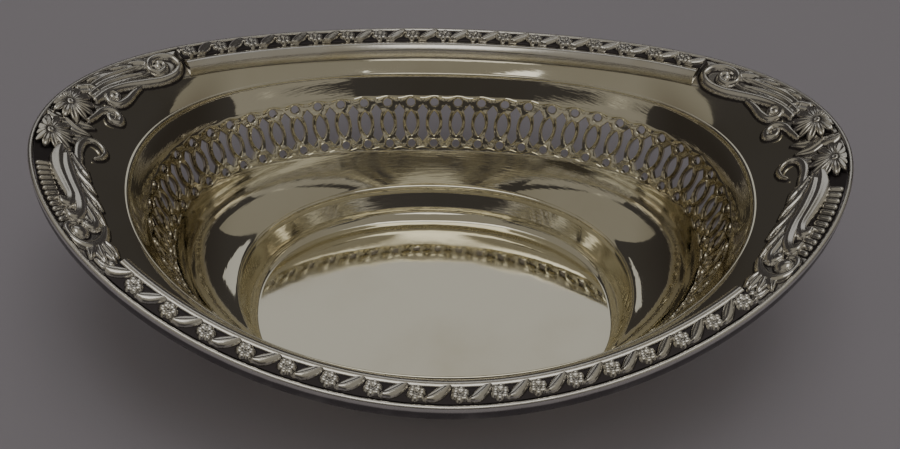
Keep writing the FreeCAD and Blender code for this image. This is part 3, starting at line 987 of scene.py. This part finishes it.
# Each ridge has its places, the half widths along it, its height and the hollow in its left side.
RIDGES = [
    # The hook that ends the piece at the back, and the ribs of the long scroll.
    ([(15.5, 4.6), (20, 4.3), (25, 4.7), (31, 5.6), (36, 6.1), (40.3, 5.5), (42.6, 3.8), (41.8, 1.7),
      (39, 0.8), (35.8, 1.3), (34.3, 3.0), (35.8, 4.4), (38.2, 4.0), (38.8, 2.8), (37.6, 2.3)],
     [0.5, 0.6, 0.7, 0.6, 0.5, 0.45, 0.4], 1.0, 0.0),
    ([(16, 3.2), (21, 2.9), (26, 3.2), (30, 3.6), (33.6, 3.9)], [0.5, 0.65, 0.6, 0.2], 0.85, 0.3),
    ([(17, 1.8), (22, 1.5), (27, 1.7), (32, 1.9), (34.6, 2.4)], [0.4, 0.6, 0.5, 0.2], 0.75, 0.3),
    ([(35.5, 1.9), (33.4, 0.7), (30.5, 0.35)], [0.5, 0.6, 0.2], 0.7, 0.2),
    ([(30.5, 1.2), (28, 0.6), (25, 0.3)], [0.45, 0.6, 0.2], 0.7, 0.2),
    ([(25, 1.1), (22, 0.6), (18.5, 0.35)], [0.45, 0.6, 0.2], 0.7, 0.2),
    # The two volutes between the scroll and the flowers.
    ([(28.5, 6.3), (25.5, 6.8), (22.5, 7.5), (19.6, 7.5), (18.2, 6.2), (19.0, 4.9), (20.8, 4.9),
      (21.5, 5.9), (20.6, 6.5)], [0.2, 0.45, 0.55, 0.5, 0.45, 0.4], 0.9, 0.0),
    ([(8.5, 6.8), (11.5, 6.9), (14.5, 6.9), (16.8, 8.0), (16.9, 9.7), (15.2, 10.5), (13.7, 9.5),
      (14.5, 8.5), (15.4, 8.9)], [0.3, 0.5, 0.55, 0.5, 0.4], 0.9, 0.0),
    # The volute inside the long leaf.
    ([(-12.5, 8.8), (-8.0, 8.2), (-3.5, 7.9), (0.0, 8.4), (1.8, 9.8), (1.4, 11.5), (-0.8, 12.5),
      (-3.8, 12.3), (-5.6, 11.2)], [0.3, 0.6, 0.6, 0.45, 0.4, 0.2], 0.9, 0.0),
    # Small leaves behind the flowers.
    ([(6.0, 3.5), (5.6, 6.0), (7.2, 8.2)], [0.8, 0.9, 0.25], 0.5, 0.3),
    ([(4.0, 3.2), (3.0, 6.0), (3.4, 8.4)], [0.8, 0.9, 0.25], 0.5, 0.3),
    ([(-0.5, 4.5), (-0.2, 6.4), (1.2, 7.9)], [0.8, 0.8, 0.25], 0.45, 0.3),
    ([(15.5, 1.0), (17.5, 2.0), (18.4, 4.2)], [0.8, 0.9, 0.25], 0.75, 0.4),
    ([(3.4, 2.6), (3.2, 1.0), (3.4, 0.2)], [0.9, 1.0, 0.5], 0.5, 0.3),
    # The long leaf: its outer lobes end in hooks, its inner lobes sweep to the inner edge.
    ([(-6.5, 5.0), (-9.5, 4.7), (-14, 4.7), (-20, 5.2), (-24.0, 5.2), (-26.3, 4.2), (-26.0, 3.1),
      (-24.9, 3.1)], [0.6, 1.15, 1.2, 1.05, 0.8, 0.6], 1.4, 0.1),
    ([(-8, 6.2), (-12, 6.2), (-18, 6.5), (-24, 6.7), (-28.6, 5.9), (-31.0, 4.4), (-31.0, 3.1), (-29.7, 2.9)],
     [0.5, 1.1, 1.2, 1.1, 0.85, 0.65], 1.5, 0.1),
    ([(-8, 7.2), (-10, 7.8), (-13.0, 9.2), (-15.4, 10.0)], [0.4, 0.9, 0.9, 0.25], 1.0, 0.4),
    ([(-9, 6.8), (-14, 8.0), (-18.4, 9.5), (-21.2, 10.2)], [0.4, 0.95, 0.9, 0.25], 1.05, 0.4),
    ([(-14, 7.2), (-20, 8.2), (-25.2, 9.5), (-28.2, 10.0)], [0.4, 0.95, 0.9, 0.25], 1.05, 0.4),
    ([(-19, 7.4), (-26, 7.9), (-31.0, 8.4), (-34.6, 8.4)], [0.4, 1.0, 0.9, 0.3], 1.15, 0.4),
    ([(-25, 6.9), (-30, 6.9), (-33.6, 6.7), (-35.0, 5.6), (-34.0, 4.7)], [0.4, 1.0, 1.0, 0.6], 1.3, 0.3),
    # The C-scroll round the ball, and the small palmette that ends the piece at the front.
    ([(-35.6, 8.2), (-37.8, 6.6), (-39.3, 4.4), (-39.2, 2.0), (-37.3, 0.6), (-34.9, 0.45), (-33.2, 1.5),
      (-33.4, 3.0)], [0.4, 0.65, 0.75, 0.65, 0.55, 0.4], 1.1, 0.0),
    ([(-39.0, 5.6), (-41.0, 6.0), (-43.4, 5.6)], [0.5, 0.75, 0.3], 1.0, 0.3),
    ([(-39.4, 4.8), (-41.8, 4.6), (-44.4, 4.3)], [0.5, 0.8, 0.3], 1.0, 0.3),
    ([(-39.5, 4.0), (-41.8, 3.0), (-43.8, 2.5)], [0.5, 0.8, 0.3], 1.0, 0.3),
    ([(-39.4, 3.2), (-41.0, 1.6), (-42.0, 0.7)], [0.5, 0.75, 0.3], 0.95, 0.3),
    ([(-42.8, 1.2), (-44.6, 1.6), (-46.0, 2.6)], [0.3, 0.6, 0.3], 0.7, 0.3),
]

# Balls with their places, radii and heights, and daisies with their places and turns.
BALLS = [((-35.6, 2.7), 1.15, 1.45), ((-44.9, 3.4), 0.75, 0.9), ((37.3, 3.0), 0.7, 0.9),
         ((20.2, 5.7), 0.55, 0.8), ((14.6, 9.1), 0.5, 0.8), ((-25.2, 3.6), 0.7, 1.2),
         ((-30.2, 3.4), 0.75, 1.25), ((-33.9, 5.2), 0.9, 1.3)]
DAISIES = [((9.8, 2.4), 0.3), ((-3.6, 2.6), 0.05)]

# A daisy's petals start this far from its middle, differ by a share in size, droop this much at
# this distance, and bend back this far inside the outer edge. Its heart is a dome.
PETAL_FROM, PETAL_WIDE, PETAL_LIFT, PETAL_RISE = 0.75, 0.92, 1.2, 0.75
PETAL_UNEVEN_SHARE = 0.14
PETAL_DROOP, PETAL_DROOP_AT = 0.05, 2
PETAL_MARGIN = 0.08
HEART_RADIUS, HEART_LIFT, HEART_RISE = 0.95, 1.2, 0.8

# The flutes, and how far the dark beside them goes on at both ends of their row.
FLUTES_FROM, FLUTES_TO = -12.6, -31.0
DARK_BEFORE, DARK_PAST = 9, 1
FLUTE_RISE, FLUTE_LEAN, FLUTE_FROM_EDGE = 0.85, 0.3, 0.15
FLUTE_WIDE_SHARE = 0.43


def petal_skin(length):
    """A petal along +X: blunt and wide outside, narrow at the flower's heart, closed underneath."""
    steps, sink = 9, -0.7
    blunt_from, blunt_over, blunt_end = 0.7, 0.32, 0.02
    narrow_share, groove_deep, groove_wide, tip_share = 0.3, 0.4, 0.26, 0.3
    a, c = np.meshgrid(np.linspace(0, 1, steps), np.linspace(-1, 1, steps), indexing="ij")
    blunt = np.sqrt(np.clip(1 - (np.clip(a - blunt_from, 0, 1) / blunt_over) ** 2, blunt_end, 1))
    # The petal widens over the first half of a wave, and stands highest beyond its middle.
    widening = np.sin(math.pi * np.clip(a * 0.62 + 0.05, 0, 1))
    wide = PETAL_WIDE * (narrow_share + (1 - narrow_share) * widening) * blunt
    groove = groove_deep * np.exp(-(c / groove_wide) ** 2) * np.sin(math.pi * a)
    crown = np.sqrt(np.clip(1 - c ** 4, 0, 1)) * (0.45 + 0.75 * np.sin(math.pi * (0.15 + 0.8 * a)))
    up = PETAL_RISE * (crown - groove)
    top = np.stack([a * length, c * wide, up], -1)
    top[-1, :, 2] *= tip_share
    away_from_heart, away_from_side = np.clip(0.35 + 1.4 * a, 0, 1), np.clip(1.15 - np.abs(c) ** 3, 0, 1)
    shade = np.clip(up / PETAL_RISE, 0, 1) * away_from_side * away_from_heart
    return closed_pad(top, shade, sink)


def flute_skin(length, wide):
    """One flute: a rounded rib with round ends, closed underneath."""
    rows, columns, sink, end_share = 11, 7, -0.2, 0.6
    a, c = np.meshgrid(np.linspace(-1, 1, rows), np.linspace(-1, 1, columns), indexing="ij")
    bulge = np.sqrt(np.clip(1 - a ** 6, 0, 1))
    up = FLUTE_RISE * np.sqrt(np.clip(1 - c ** 2, 0, 1)) * bulge
    across = c * wide * (end_share + (1 - end_share) * bulge) + a * FLUTE_LEAN
    return closed_pad(np.stack([across, a * length / 2, up], -1), up / FLUTE_RISE, sink)


def closed_pad(top, shade, under):
    """A pad from the grid of its top face: straight sides and a flat underside."""
    rows, columns = top.shape[:2]
    base = top.copy()
    base[..., 2] = under
    n = rows * columns
    edge = list(range(columns)) + [r * columns + columns - 1 for r in range(1, rows)]
    edge += [n - columns + c for c in range(columns - 2, -1, -1)]
    edge += [r * columns for r in range(rows - 2, 0, -1)]
    faces = [f[::-1] for f in grid_faces(rows, columns, False)]
    faces += [(a, b, b + n, a + n) for a, b in zip(edge, edge[1:] + edge[:1])]
    faces.append(tuple(i + n for i in edge))
    skin = Skin()
    points = np.concatenate([top.reshape(-1, 3), base.reshape(-1, 3)])
    skin.add(points, faces, np.concatenate([shade.ravel(), np.zeros(n)]))
    return skin


class EndPlace:
    """Where an end piece lies: on the right end, or mirrored on the left one.

    The marks pair places along the right piece with places along this one."""

    def __init__(self, side, marks):
        self.side = side
        self.known, self.here = np.array(marks, float).T
        self.top = cad_box[1].z / MM - BELOW_TOP

    def along(self, place):
        """Where a place along the right piece comes on this one."""
        return np.interp(place, self.known, self.here)

    def plan(self, along, inward):
        return RIM.plan(np.asarray(along, float), np.asarray(inward, float))

    def line(self, places):
        smooth = through(places)
        return self.plan(self.along(smooth[:, 0]), smooth[:, 1])

    def spot(self, place):
        return self.plan(self.along(place[0]), place[1])

    def lay(self, plan, up):
        """Plan positions and heights on the rim, mirrored for the left end."""
        high = np.minimum(rim_height(plan[..., 0], plan[..., 1]) + up, self.top)
        return np.stack([plan[..., 0] * self.side, plan[..., 1], high], -1)


def end_relief(place):
    """The relief of an end piece, and how bare its plate is."""
    sizes = bpy.context.scene.dish_ends
    front, back = place.here[0], place.here[-1]
    columns = int((back - front) / sizes.cell) + 1
    rows = int(END_DEEP / sizes.cell) + 1
    along, inward = np.meshgrid(np.linspace(front, back, columns), np.linspace(0, END_DEEP, rows))
    field = Relief(place.plan(along, inward), sizes.ground_rise)
    edge = np.array(PLATE_EDGE)
    reach = np.interp(along, place.along(edge[:, 0]), edge[:, 1])
    field.cover = np.maximum(field.cover, reach - inward)
    for points, widths, height, hollow in RIDGES:
        field.ridge(place.line(points), np.array(widths) * sizes.boldness, height * sizes.relief, hollow)
    for centre, radius, height in BALLS:
        field.ball(place.spot(centre), radius * sizes.boldness, height * sizes.relief)
    behind = along > place.along(FLUTES_TO - DARK_PAST)
    before = along < place.along(FLUTES_FROM + DARK_BEFORE)
    return field, np.where(behind & before & (inward < PLATE_DARK_TO), 0.0, PLATE_BARE)


def end_sheet(place, field, plate):
    """The relief as a closed shell. Its uncovered parts are left out below the rim's face."""
    up = field.surface()
    rows, columns = up.shape
    shown = up > SHOWN_SHARE * SKIRT
    cells = shown[:-1, :-1] | shown[1:, :-1] | shown[:-1, 1:] | shown[1:, 1:]
    number = np.arange(rows * columns).reshape(rows, columns)
    quads = np.stack([number[:-1, :-1], number[1:, :-1], number[1:, 1:], number[:-1, 1:]], -1)[cells]
    edges = {(a, b) for quad in quads.tolist() for a, b in zip(quad, quad[1:] + quad[:1])}
    border = [(a, b) for a, b in edges if (b, a) not in edges]
    skin = Skin()
    skin.add(place.lay(field.plan, up), [tuple(q) for q in quads.tolist()], field.shade(plate).ravel())
    used = sorted({i for pair in border for i in pair})
    index = {old: new for new, old in enumerate(used)}
    flat_plan = field.plan.reshape(-1, 2)[used]
    base = skin.count
    skin.add(place.lay(flat_plan, np.full(len(used), UNDER_SHARE * SKIRT)), [], 0.0)
    skin.faces += [(b, a, base + index[a], base + index[b]) for a, b in border]
    lines = [(index[a], index[b]) for a, b in border]
    fill, origins = delaunay_2d_cdt([tuple(map(float, p)) for p in flat_plan], lines, [], 1, SAME_PLACE)[2:4]
    skin.faces += [tuple(base + origins[i][0] for i in tri) for tri in fill]
    return skin


def add_flowers(skin, place, ring_tree, finish):
    """A daisy of petals round a domed heart, at each of its places."""
    sizes = bpy.context.scene.dish_ends
    nudge = 0.5
    for centre, turn in DAISIES:
        spot = place.spot(centre)
        ahead = unit(place.spot((centre[0] + nudge, centre[1])) - spot)
        inward = np.array([-ahead[1], ahead[0]])
        shape = stand_in("petal", petal_skin(sizes.petal_length))
        flat, faces, relief = repeated(
            ring_tree, shape, sizes.petal_count, PETAL_FROM, finish, PETAL_UNEVEN_SHARE)
        c, s = math.cos(turn), math.sin(turn)
        x, y = flat[:, 0] * c - flat[:, 1] * s, flat[:, 0] * s + flat[:, 1] * c
        room = centre[1] - PETAL_MARGIN
        y = np.where(y < 0, -room * np.tanh(-y / room), y)
        droop = PETAL_DROOP * (np.hypot(x, y) / PETAL_DROOP_AT) ** 2
        plan = spot + x[:, None] * ahead + y[:, None] * inward
        skin.add(place.lay(plan, flat[:, 2] + PETAL_LIFT - droop), faces, relief)
        add_dome(skin, place, spot)


def add_dome(skin, place, spot):
    """The domed heart of a flower, with a dimple in its middle."""
    sides, steps = 16, 7
    dip_from, dip_deep, dip_dark, least = 0.6, 0.35, 0.7, 0.02
    turns = np.arange(sides) * 2 * math.pi / sides
    circle_round = np.stack([np.cos(turns), np.sin(turns)], -1)
    points = [place.lay(spot + HEART_RADIUS * circle_round, np.zeros(sides))]
    shade = [np.zeros(sides)]
    for t in np.linspace(0, 1, steps):
        dip = max(0, t - dip_from) / (1 - dip_from)
        up = HEART_LIFT + HEART_RISE * (math.sin(t * math.pi / 2) - dip_deep * dip)
        reach = max(HEART_RADIUS * math.cos(t * math.pi / 2), least)
        points.append(place.lay(spot + reach * circle_round, np.full(sides, up)))
        shade.append(np.full(sides, 1.0 - dip_dark * dip))
    last = (len(points) - 1) * sides
    ends = [tuple(range(sides)), tuple(range(last, last + sides))]
    skin.add(np.array(points), grid_faces(len(points), sides, True) + ends, np.concatenate(shade))


def add_flutes(skin, place, row_tree, finish):
    """The row of flutes between the long leaf and the outer edge."""
    sizes = bpy.context.scene.dish_ends
    start, end = place.along(FLUTES_FROM), place.along(FLUTES_TO)
    spacing = (end - start) / (sizes.flute_count - 1)
    shape = stand_in("flute", flute_skin(sizes.flute_length, FLUTE_WIDE_SHARE * abs(spacing)))
    flat, faces, relief = repeated(row_tree, shape, sizes.flute_count, spacing, finish)
    inward = FLUTE_FROM_EDGE + sizes.flute_length / 2 + flat[:, 1]
    plan = place.plan(start + flat[:, 0], inward)
    skin.add(place.lay(plan, sizes.ground_rise + flat[:, 2]), faces, relief)


def make_end_piece(name, place, trees, finish):
    row_tree, ring_tree = trees
    field, plate = end_relief(place)
    skin = end_sheet(place, field, plate)
    add_flutes(skin, place, row_tree, finish)
    add_flowers(skin, place, ring_tree, finish)
    piece = new_piece(name + "_flowers", skin, finish, sharp=75)
    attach(piece, BODY)
    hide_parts(name)


# edge wires

# The wire's profile in mm: the height of its shoulder, the height below which its inner side is
# hidden, the height from which it is painted bright, below which its sides get painted shade, and
# places on its outer side, inwards and up.
WIRE_SHOULDER, WIRE_HIDDEN, WIRE_UNSHADED_FROM = 0.35, -0.6, 0.1
WIRE_SIDE = ((0, WIRE_SHOULDER), (0.05, -0.3), (0.16, -0.75), (0.1, -1.2))
WIRE_STEPS, CROWN_STEPS = 360, 8


def make_wire(name, start, end, finish):
    sizes = bpy.context.scene.dish_border
    half = sizes.wire_width / 2
    middle = EDGE_GAP + half
    foot = -sizes.wire_apron
    section = [(EDGE_GAP, foot), (EDGE_GAP, WIRE_HIDDEN), (EDGE_GAP, WIRE_SHOULDER)]
    for turn in np.linspace(math.pi, 0, CROWN_STEPS + 1)[1:-1]:
        section.append((middle + half * math.cos(turn), WIRE_SHOULDER + sizes.wire_crown * math.sin(turn)))
    section += [(EDGE_GAP + sizes.wire_width - inward, up) for inward, up in WIRE_SIDE]
    section = np.array(section + [(middle + half / 2, foot)])
    along = np.linspace(start, end, WIRE_STEPS)
    flat = np.zeros((len(along), len(section), 3))
    flat[..., 0] = along[:, None]
    flat[..., 1:] = section
    places = RIM.off_edge(flat)
    n = len(section)
    faces = grid_faces(len(along), n, False)
    faces += [(r * n + n - 1, (r + 1) * n + n - 1, (r + 1) * n, r * n) for r in range(len(along) - 1)]
    faces += [tuple(range(n)), tuple(range((len(along) - 1) * n, len(along) * n))[::-1]]
    # Painted shade: the wire's sides are coloured dark, darkest where its inner side is hidden, and only its
    # top is bright.
    shade = np.interp(section[:, 1], [foot, WIRE_HIDDEN, WIRE_UNSHADED_FROM], [0.1, 0.0, 1.0])
    skin = Skin()
    skin.add(places, faces, np.tile(shade, len(along)))
    wire = new_piece(name + "_moulded", skin, finish, sharp=60)
    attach(wire, BODY)
    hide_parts(name)


# finishes


def start_material(name):
    """A new metal material: itself, its nodes, its shader and the place on the object."""
    material = bpy.data.materials.new(name)
    material.use_nodes = True
    tree = material.node_tree
    tree.nodes.clear()
    shader = node(tree, "ShaderNodeBsdfPrincipled", Metallic=1.0)
    node(tree, "ShaderNodeOutputMaterial", Surface=shader.outputs[0])
    return material, tree, shader, tree.nodes.new("ShaderNodeTexCoord").outputs["Object"]


def noise(tree, place, scale, detail=3.0, stretch=None):
    """Noise at a scale per metre, stretched along some axes."""
    if stretch:
        place = node(tree, "ShaderNodeMapping", Vector=place, Scale=stretch).outputs[0]
    return node(tree, "ShaderNodeTexNoise", Vector=place, Scale=scale, Detail=detail).outputs["Fac"]


def ramp(tree, value, low, high, from_low=0.0, from_high=1.0):
    """A value carried from one range to another, and held at the ends."""
    made = node(tree, "ShaderNodeMapRange", Value=value, From_Min=from_low, From_Max=from_high,
                To_Min=low, To_Max=high)
    made.interpolation_type = "SMOOTHSTEP"
    return made.outputs["Result"]


def blend_colours(tree, share, first, second):
    """The first colour, or the second one where the share is one."""
    made = tree.nodes.new("ShaderNodeMix")
    made.data_type = "RGBA"
    factor, colour_a, colour_b = made.inputs[0], made.inputs[6], made.inputs[7]
    put(tree, factor, share)
    for socket, value in ((colour_a, first), (colour_b, second)):
        put(tree, socket, value if isinstance(value, bpy.types.NodeSocket) else opaque(value))
    return made.outputs[2]


def opaque(colour):
    return tuple(colour) + (1.0,)


def bump(tree, height, strength, distance, below=None):
    """Fine unevenness of the face, on top of what lies below it."""
    made = node(tree, "ShaderNodeBump", Strength=strength, Distance=distance, Height=height)
    if below is not None:
        set_inputs(tree, made, Normal=below)
    return made.outputs[0]


def end_wall(tree, place):
    """One in the two ends of the wall, under the flange, and zero elsewhere."""
    apart = node(tree, "ShaderNodeSeparateXYZ", Vector=place).outputs
    far = ramp(tree, arithmetic(tree, "ABSOLUTE", apart["X"]), 0.0, 0.85, from_low=0.043, from_high=0.053)
    low = ramp(tree, apart["Z"], 1.0, 0.0, from_low=0.036, from_high=0.041)
    return arithmetic(tree, "MULTIPLY", far, low)


def polished_sheet():
    """Polished silver sheet with fine wiping scratches, soft dents and a warm tarnish in patches."""
    look = bpy.context.scene.dish_silver
    material, tree, shader, place = start_material("polished_silver_sheet")
    tint = ramp(tree, noise(tree, place, 28.0, detail=5.0), 0.1, 0.7, from_low=0.45, from_high=0.85)
    colour = blend_colours(tree, tint, look.sheet, look.tarnish)
    colour = blend_colours(tree, end_wall(tree, place), colour, look.brown)
    smears = noise(tree, place, 60.0, detail=4.0, stretch=(1.0, 1.0, 3.0))
    rough = ramp(tree, smears, 0.025, 0.085, from_low=0.3, from_high=0.75)
    scratches = noise(tree, place, 900.0, detail=2.0, stretch=(0.25, 0.25, 4.0))
    dents = noise(tree, place, 70.0, detail=2.0)
    fine = bump(tree, scratches, strength=0.05, distance=0.0002)
    soft = bump(tree, dents, strength=0.12, distance=0.0006, below=fine)
    set_inputs(tree, shader, Base_Color=colour, Roughness=rough, Normal=soft)
    return material


def bareness_and_shade(tree, place, scale, uneven):
    """How bare each point is, from its relief attribute, which holds oxide and painted shade, made uneven by
    noise.
    """
    relief = tree.nodes.new("ShaderNodeAttribute")
    relief.attribute_name = "relief"
    blotches = ramp(tree, noise(tree, place, scale, detail=4.0), -uneven, uneven)
    return arithmetic(tree, "ADD", relief.outputs["Fac"], blotches)


def oxidised_and_shaded_cast():
    """Cast silver: black with oxide in the hollows, polished where the relief stands up, and darkened by
    painted shade beside ridges and on the strip's inner side.
    """
    known = bpy.data.materials.get("oxidised_cast_silver")
    if known:
        return known
    look = bpy.context.scene.dish_silver
    material, tree, shader, place = start_material("oxidised_cast_silver")
    bare = ramp(tree, bareness_and_shade(tree, place, 450.0, 0.06), 0.0, 1.0, from_low=0.12, from_high=0.62)
    warm = ramp(tree, noise(tree, place, 120.0), 0.0, 0.35, from_low=0.4, from_high=0.75)
    silver = blend_colours(tree, warm, look.cast, look.tarnish)
    grain = bump(tree, noise(tree, place, 1500.0), strength=0.06, distance=0.0001)
    colour = blend_colours(tree, bare, look.recess_and_shade, silver)
    set_inputs(tree, shader, Base_Color=colour, Roughness=ramp(tree, bare, 0.55, 0.2), Normal=grain)
    return material


def shaded_wire():
    """Plain silver wire, bright on top, with painted shade dulling its side."""
    look = bpy.context.scene.dish_silver
    material, tree, shader, place = start_material("worn_silver_wire")
    bare = ramp(tree, bareness_and_shade(tree, place, 200.0, 0.15), 0.1, 1.0, from_low=0.0, from_high=0.7)
    rough = ramp(tree, noise(tree, place, 300.0), 0.18, 0.38)
    grain = bump(tree, noise(tree, place, 1200.0), strength=0.1, distance=0.0001)
    # The recess colour here is painted shade on the wire's side.
    colour = blend_colours(tree, bare, look.recess_and_shade, look.cast)
    set_inputs(tree, shader, Base_Color=colour, Roughness=rough, Normal=grain)
    return material


def plain_floor():
    """Dull plain ground, not metal."""
    material, tree, shader, _ = start_material("plain_floor")
    colour = opaque(bpy.context.scene.dish_stage.floor)
    set_inputs(tree, shader, Base_Color=colour, Metallic=0.0, Roughness=0.8)
    return material


# stage

# The camera: its place in metres, its turns in radians, and its focal length in pixels of a picture
# this wide. The sensor's width is in mm.
CAMERA_PLACE = (-0.019334, -0.259614, 0.289653)
YAW, PITCH, ROLL = 0.082, 0.788, 0.067
FOCAL_PIXELS, PICTURE_WIDE_PIXELS = 1763.927, 900
SENSOR_WIDE = 36.0

# The lights: which strength they have, place, target, width and depth in metres, and colour.
DISH = (0.0, 0.0, 0.03)
SCREEN_SIZE, SCREEN_COLOUR = (2.2, 1.0), (1.0, 0.94, 0.78)
LIGHTS = {
    "window": ("window", (0.15, 1.2, 1.3), DISH, (1.5, 0.6), (1.0, 0.99, 0.95)),
    "ceiling": ("ceiling", (0.0, -0.8, 1.57), (0.0, -0.8, 0.0), (6.6, 3.2), (1.0, 0.94, 0.76)),
    "lamp": ("lamp", (0.0, -0.32, 1.5), (0.0, -0.32, 0.0), (0.7, 0.98), (1.0, 0.98, 0.93)),
    "left_screen": ("screen", (-2.1, -2.0, 0.7), DISH, SCREEN_SIZE, SCREEN_COLOUR),
    "right_screen": ("screen", (2.1, -2.0, 0.7), DISH, SCREEN_SIZE, SCREEN_COLOUR),
}
ROOM_COLOUR = (0.9, 0.82, 0.78)
FLOOR_REACH = 6.0


def turned(place, right, up, back):
    """A matrix that puts an object at a place, with these three axes of its own."""
    return Matrix.Translation(place) @ Matrix((right, up, back)).transposed().to_4x4()


def add_light(name, watts, place, target, size, colour):
    """A soft rectangular light that points at a target."""
    lamp = bpy.data.lights.new(name, "AREA")
    lamp.shape = "RECTANGLE"
    lamp.size, lamp.size_y = size
    lamp.energy = watts
    lamp.color = colour
    straight = 0.99
    back = unit(np.array(place) - np.array(target))
    right = unit(np.cross([0, 0, 1] if abs(back[2]) < straight else [0, 1, 0], back))
    placed(name, lamp).matrix_world = turned(place, right, np.cross(back, right), back)


def add_camera():
    """The camera of the picture."""
    ahead = np.array([math.sin(YAW) * math.cos(PITCH), math.cos(YAW) * math.cos(PITCH), -math.sin(PITCH)])
    level = np.array([math.cos(YAW), -math.sin(YAW), 0])
    above = np.cross(level, ahead)
    right = level * math.cos(ROLL) + above * math.sin(ROLL)
    up = -level * math.sin(ROLL) + above * math.cos(ROLL)
    data = bpy.data.cameras.new("camera")
    data.sensor_fit = "HORIZONTAL"
    data.sensor_width = SENSOR_WIDE
    data.lens = FOCAL_PIXELS / PICTURE_WIDE_PIXELS * SENSOR_WIDE
    data.clip_start = 0.01
    data.clip_end = 20
    camera = placed("camera", data)
    camera.matrix_world = turned(CAMERA_PLACE, right, up, -ahead)
    bpy.context.scene.camera = camera


def make_stage():
    look = bpy.context.scene.dish_stage
    mesh = bpy.data.meshes.new("floor")
    corners = [(x * FLOOR_REACH, y * FLOOR_REACH, 0) for x, y in ((-1, -1), (1, -1), (1, 1), (-1, 1))]
    mesh.from_pydata(corners, [], [(0, 1, 2, 3)])
    mesh.materials.append(plain_floor())
    floor = placed("floor", mesh)
    world = bpy.data.worlds.new("soft_room")
    bpy.context.scene.world = world
    world.use_nodes = True
    backdrop = world.node_tree.nodes["Background"]
    set_inputs(world.node_tree, backdrop, Color=opaque(ROOM_COLOUR), Strength=look.room)
    for name, (strength, *light) in LIGHTS.items():
        add_light(name, getattr(look, strength), *light)
    add_camera()


# operators


class DISH_OT_bowl(bpy.types.Operator):
    """Makes the pierced bowl"""

    bl_idname = "dish.bowl"
    bl_label = "Pierced bowl"

    def execute(self, context):
        make_bowl()
        return {"FINISHED"}


class DISH_OT_side_borders(bpy.types.Operator):
    """Makes the four strips of rosettes and leaves"""

    bl_idname = "dish.side_borders"
    bl_label = "Side borders"

    def execute(self, context):
        at = seams()
        tree = repeating_tree("Motifs in a row", False)
        finish = oxidised_and_shaded_cast()
        sizes = context.scene.dish_border
        strips = (("front_right_border", "front_seam", "right_front", sizes.front_right_motifs),
                  ("back_right_border", "right_back", "back_seam", sizes.back_right_motifs),
                  ("back_left_border", "back_seam", "left_back", sizes.back_left_motifs),
                  ("front_left_border", "left_front", "front_seam", sizes.front_left_motifs))
        for name, start, end, count in strips:
            make_side_border(name, at[start], at[end], count, tree, finish)
        return {"FINISHED"}


class DISH_OT_end_pieces(bpy.types.Operator):
    """Makes the flowered piece on each end"""

    bl_idname = "dish.end_pieces"
    bl_label = "End pieces"

    def execute(self, context):
        at = seams()
        half = RIM.whole / 2
        trees = repeating_tree("Flutes in a row", False), repeating_tree("Petals in a ring", True)
        finish = oxidised_and_shaded_cast()
        right = EndPlace(1, ((END_FROM, at["right_front"]), (END_TO, at["right_back"])))
        left_ends = -(half + at["left_front"]), half - at["left_back"]
        left = EndPlace(-1, ((END_FROM, left_ends[0]),) + LEFT_MARKS + ((END_TO, left_ends[1]),))
        make_end_piece("right_end_border", right, trees, finish)
        make_end_piece("left_end_border", left, trees, finish)
        return {"FINISHED"}


class DISH_OT_edge_wires(bpy.types.Operator):
    """Makes the two halves of the edge wire"""

    bl_idname = "dish.edge_wires"
    bl_label = "Edge wires"

    def execute(self, context):
        at = seams()
        finish = shaded_wire()
        make_wire("right_edge_wire", at["front_seam"], at["back_seam"], finish)
        make_wire("left_edge_wire", at["back_seam"], at["front_seam"] + RIM.whole, finish)
        return {"FINISHED"}


class DISH_OT_stage(bpy.types.Operator):
    """Makes the floor, the lights and the camera"""

    bl_idname = "dish.stage"
    bl_label = "Stage"

    def execute(self, context):
        make_stage()
        return {"FINISHED"}


OPERATORS = (DISH_OT_bowl, DISH_OT_side_borders, DISH_OT_end_pieces, DISH_OT_edge_wires, DISH_OT_stage)


class DISH_PT_panel(bpy.types.Panel):
    """Lists the pieces of the dish and their sizes"""

    bl_idname = "DISH_PT_panel"
    bl_label = "Bonbon dish"
    bl_space_type = "VIEW_3D"
    bl_region_type = "UI"
    bl_category = "Dish"

    def draw(self, context):
        for operator in OPERATORS:
            self.layout.operator(operator.bl_idname)
        for name, group in SETTINGS.items():
            box = self.layout.box()
            for field in group.__annotations__:
                box.prop(getattr(context.scene, name), field)


def register():
    for kind in tuple(SETTINGS.values()) + OPERATORS + (DISH_PT_panel,):
        bpy.utils.register_class(kind)
    for name, group in SETTINGS.items():
        setattr(bpy.types.Scene, name, PointerProperty(type=group))


def unregister():
    for name in SETTINGS:
        delattr(bpy.types.Scene, name)
    for kind in (DISH_PT_panel,) + OPERATORS + tuple(SETTINGS.values()):
        bpy.utils.unregister_class(kind)


def main():
    register()
    bpy.ops.dish.bowl()
    bpy.ops.dish.side_borders()
    bpy.ops.dish.end_pieces()
    bpy.ops.dish.edge_wires()
    bpy.ops.dish.stage()


if __name__ == "__main__":
    main()
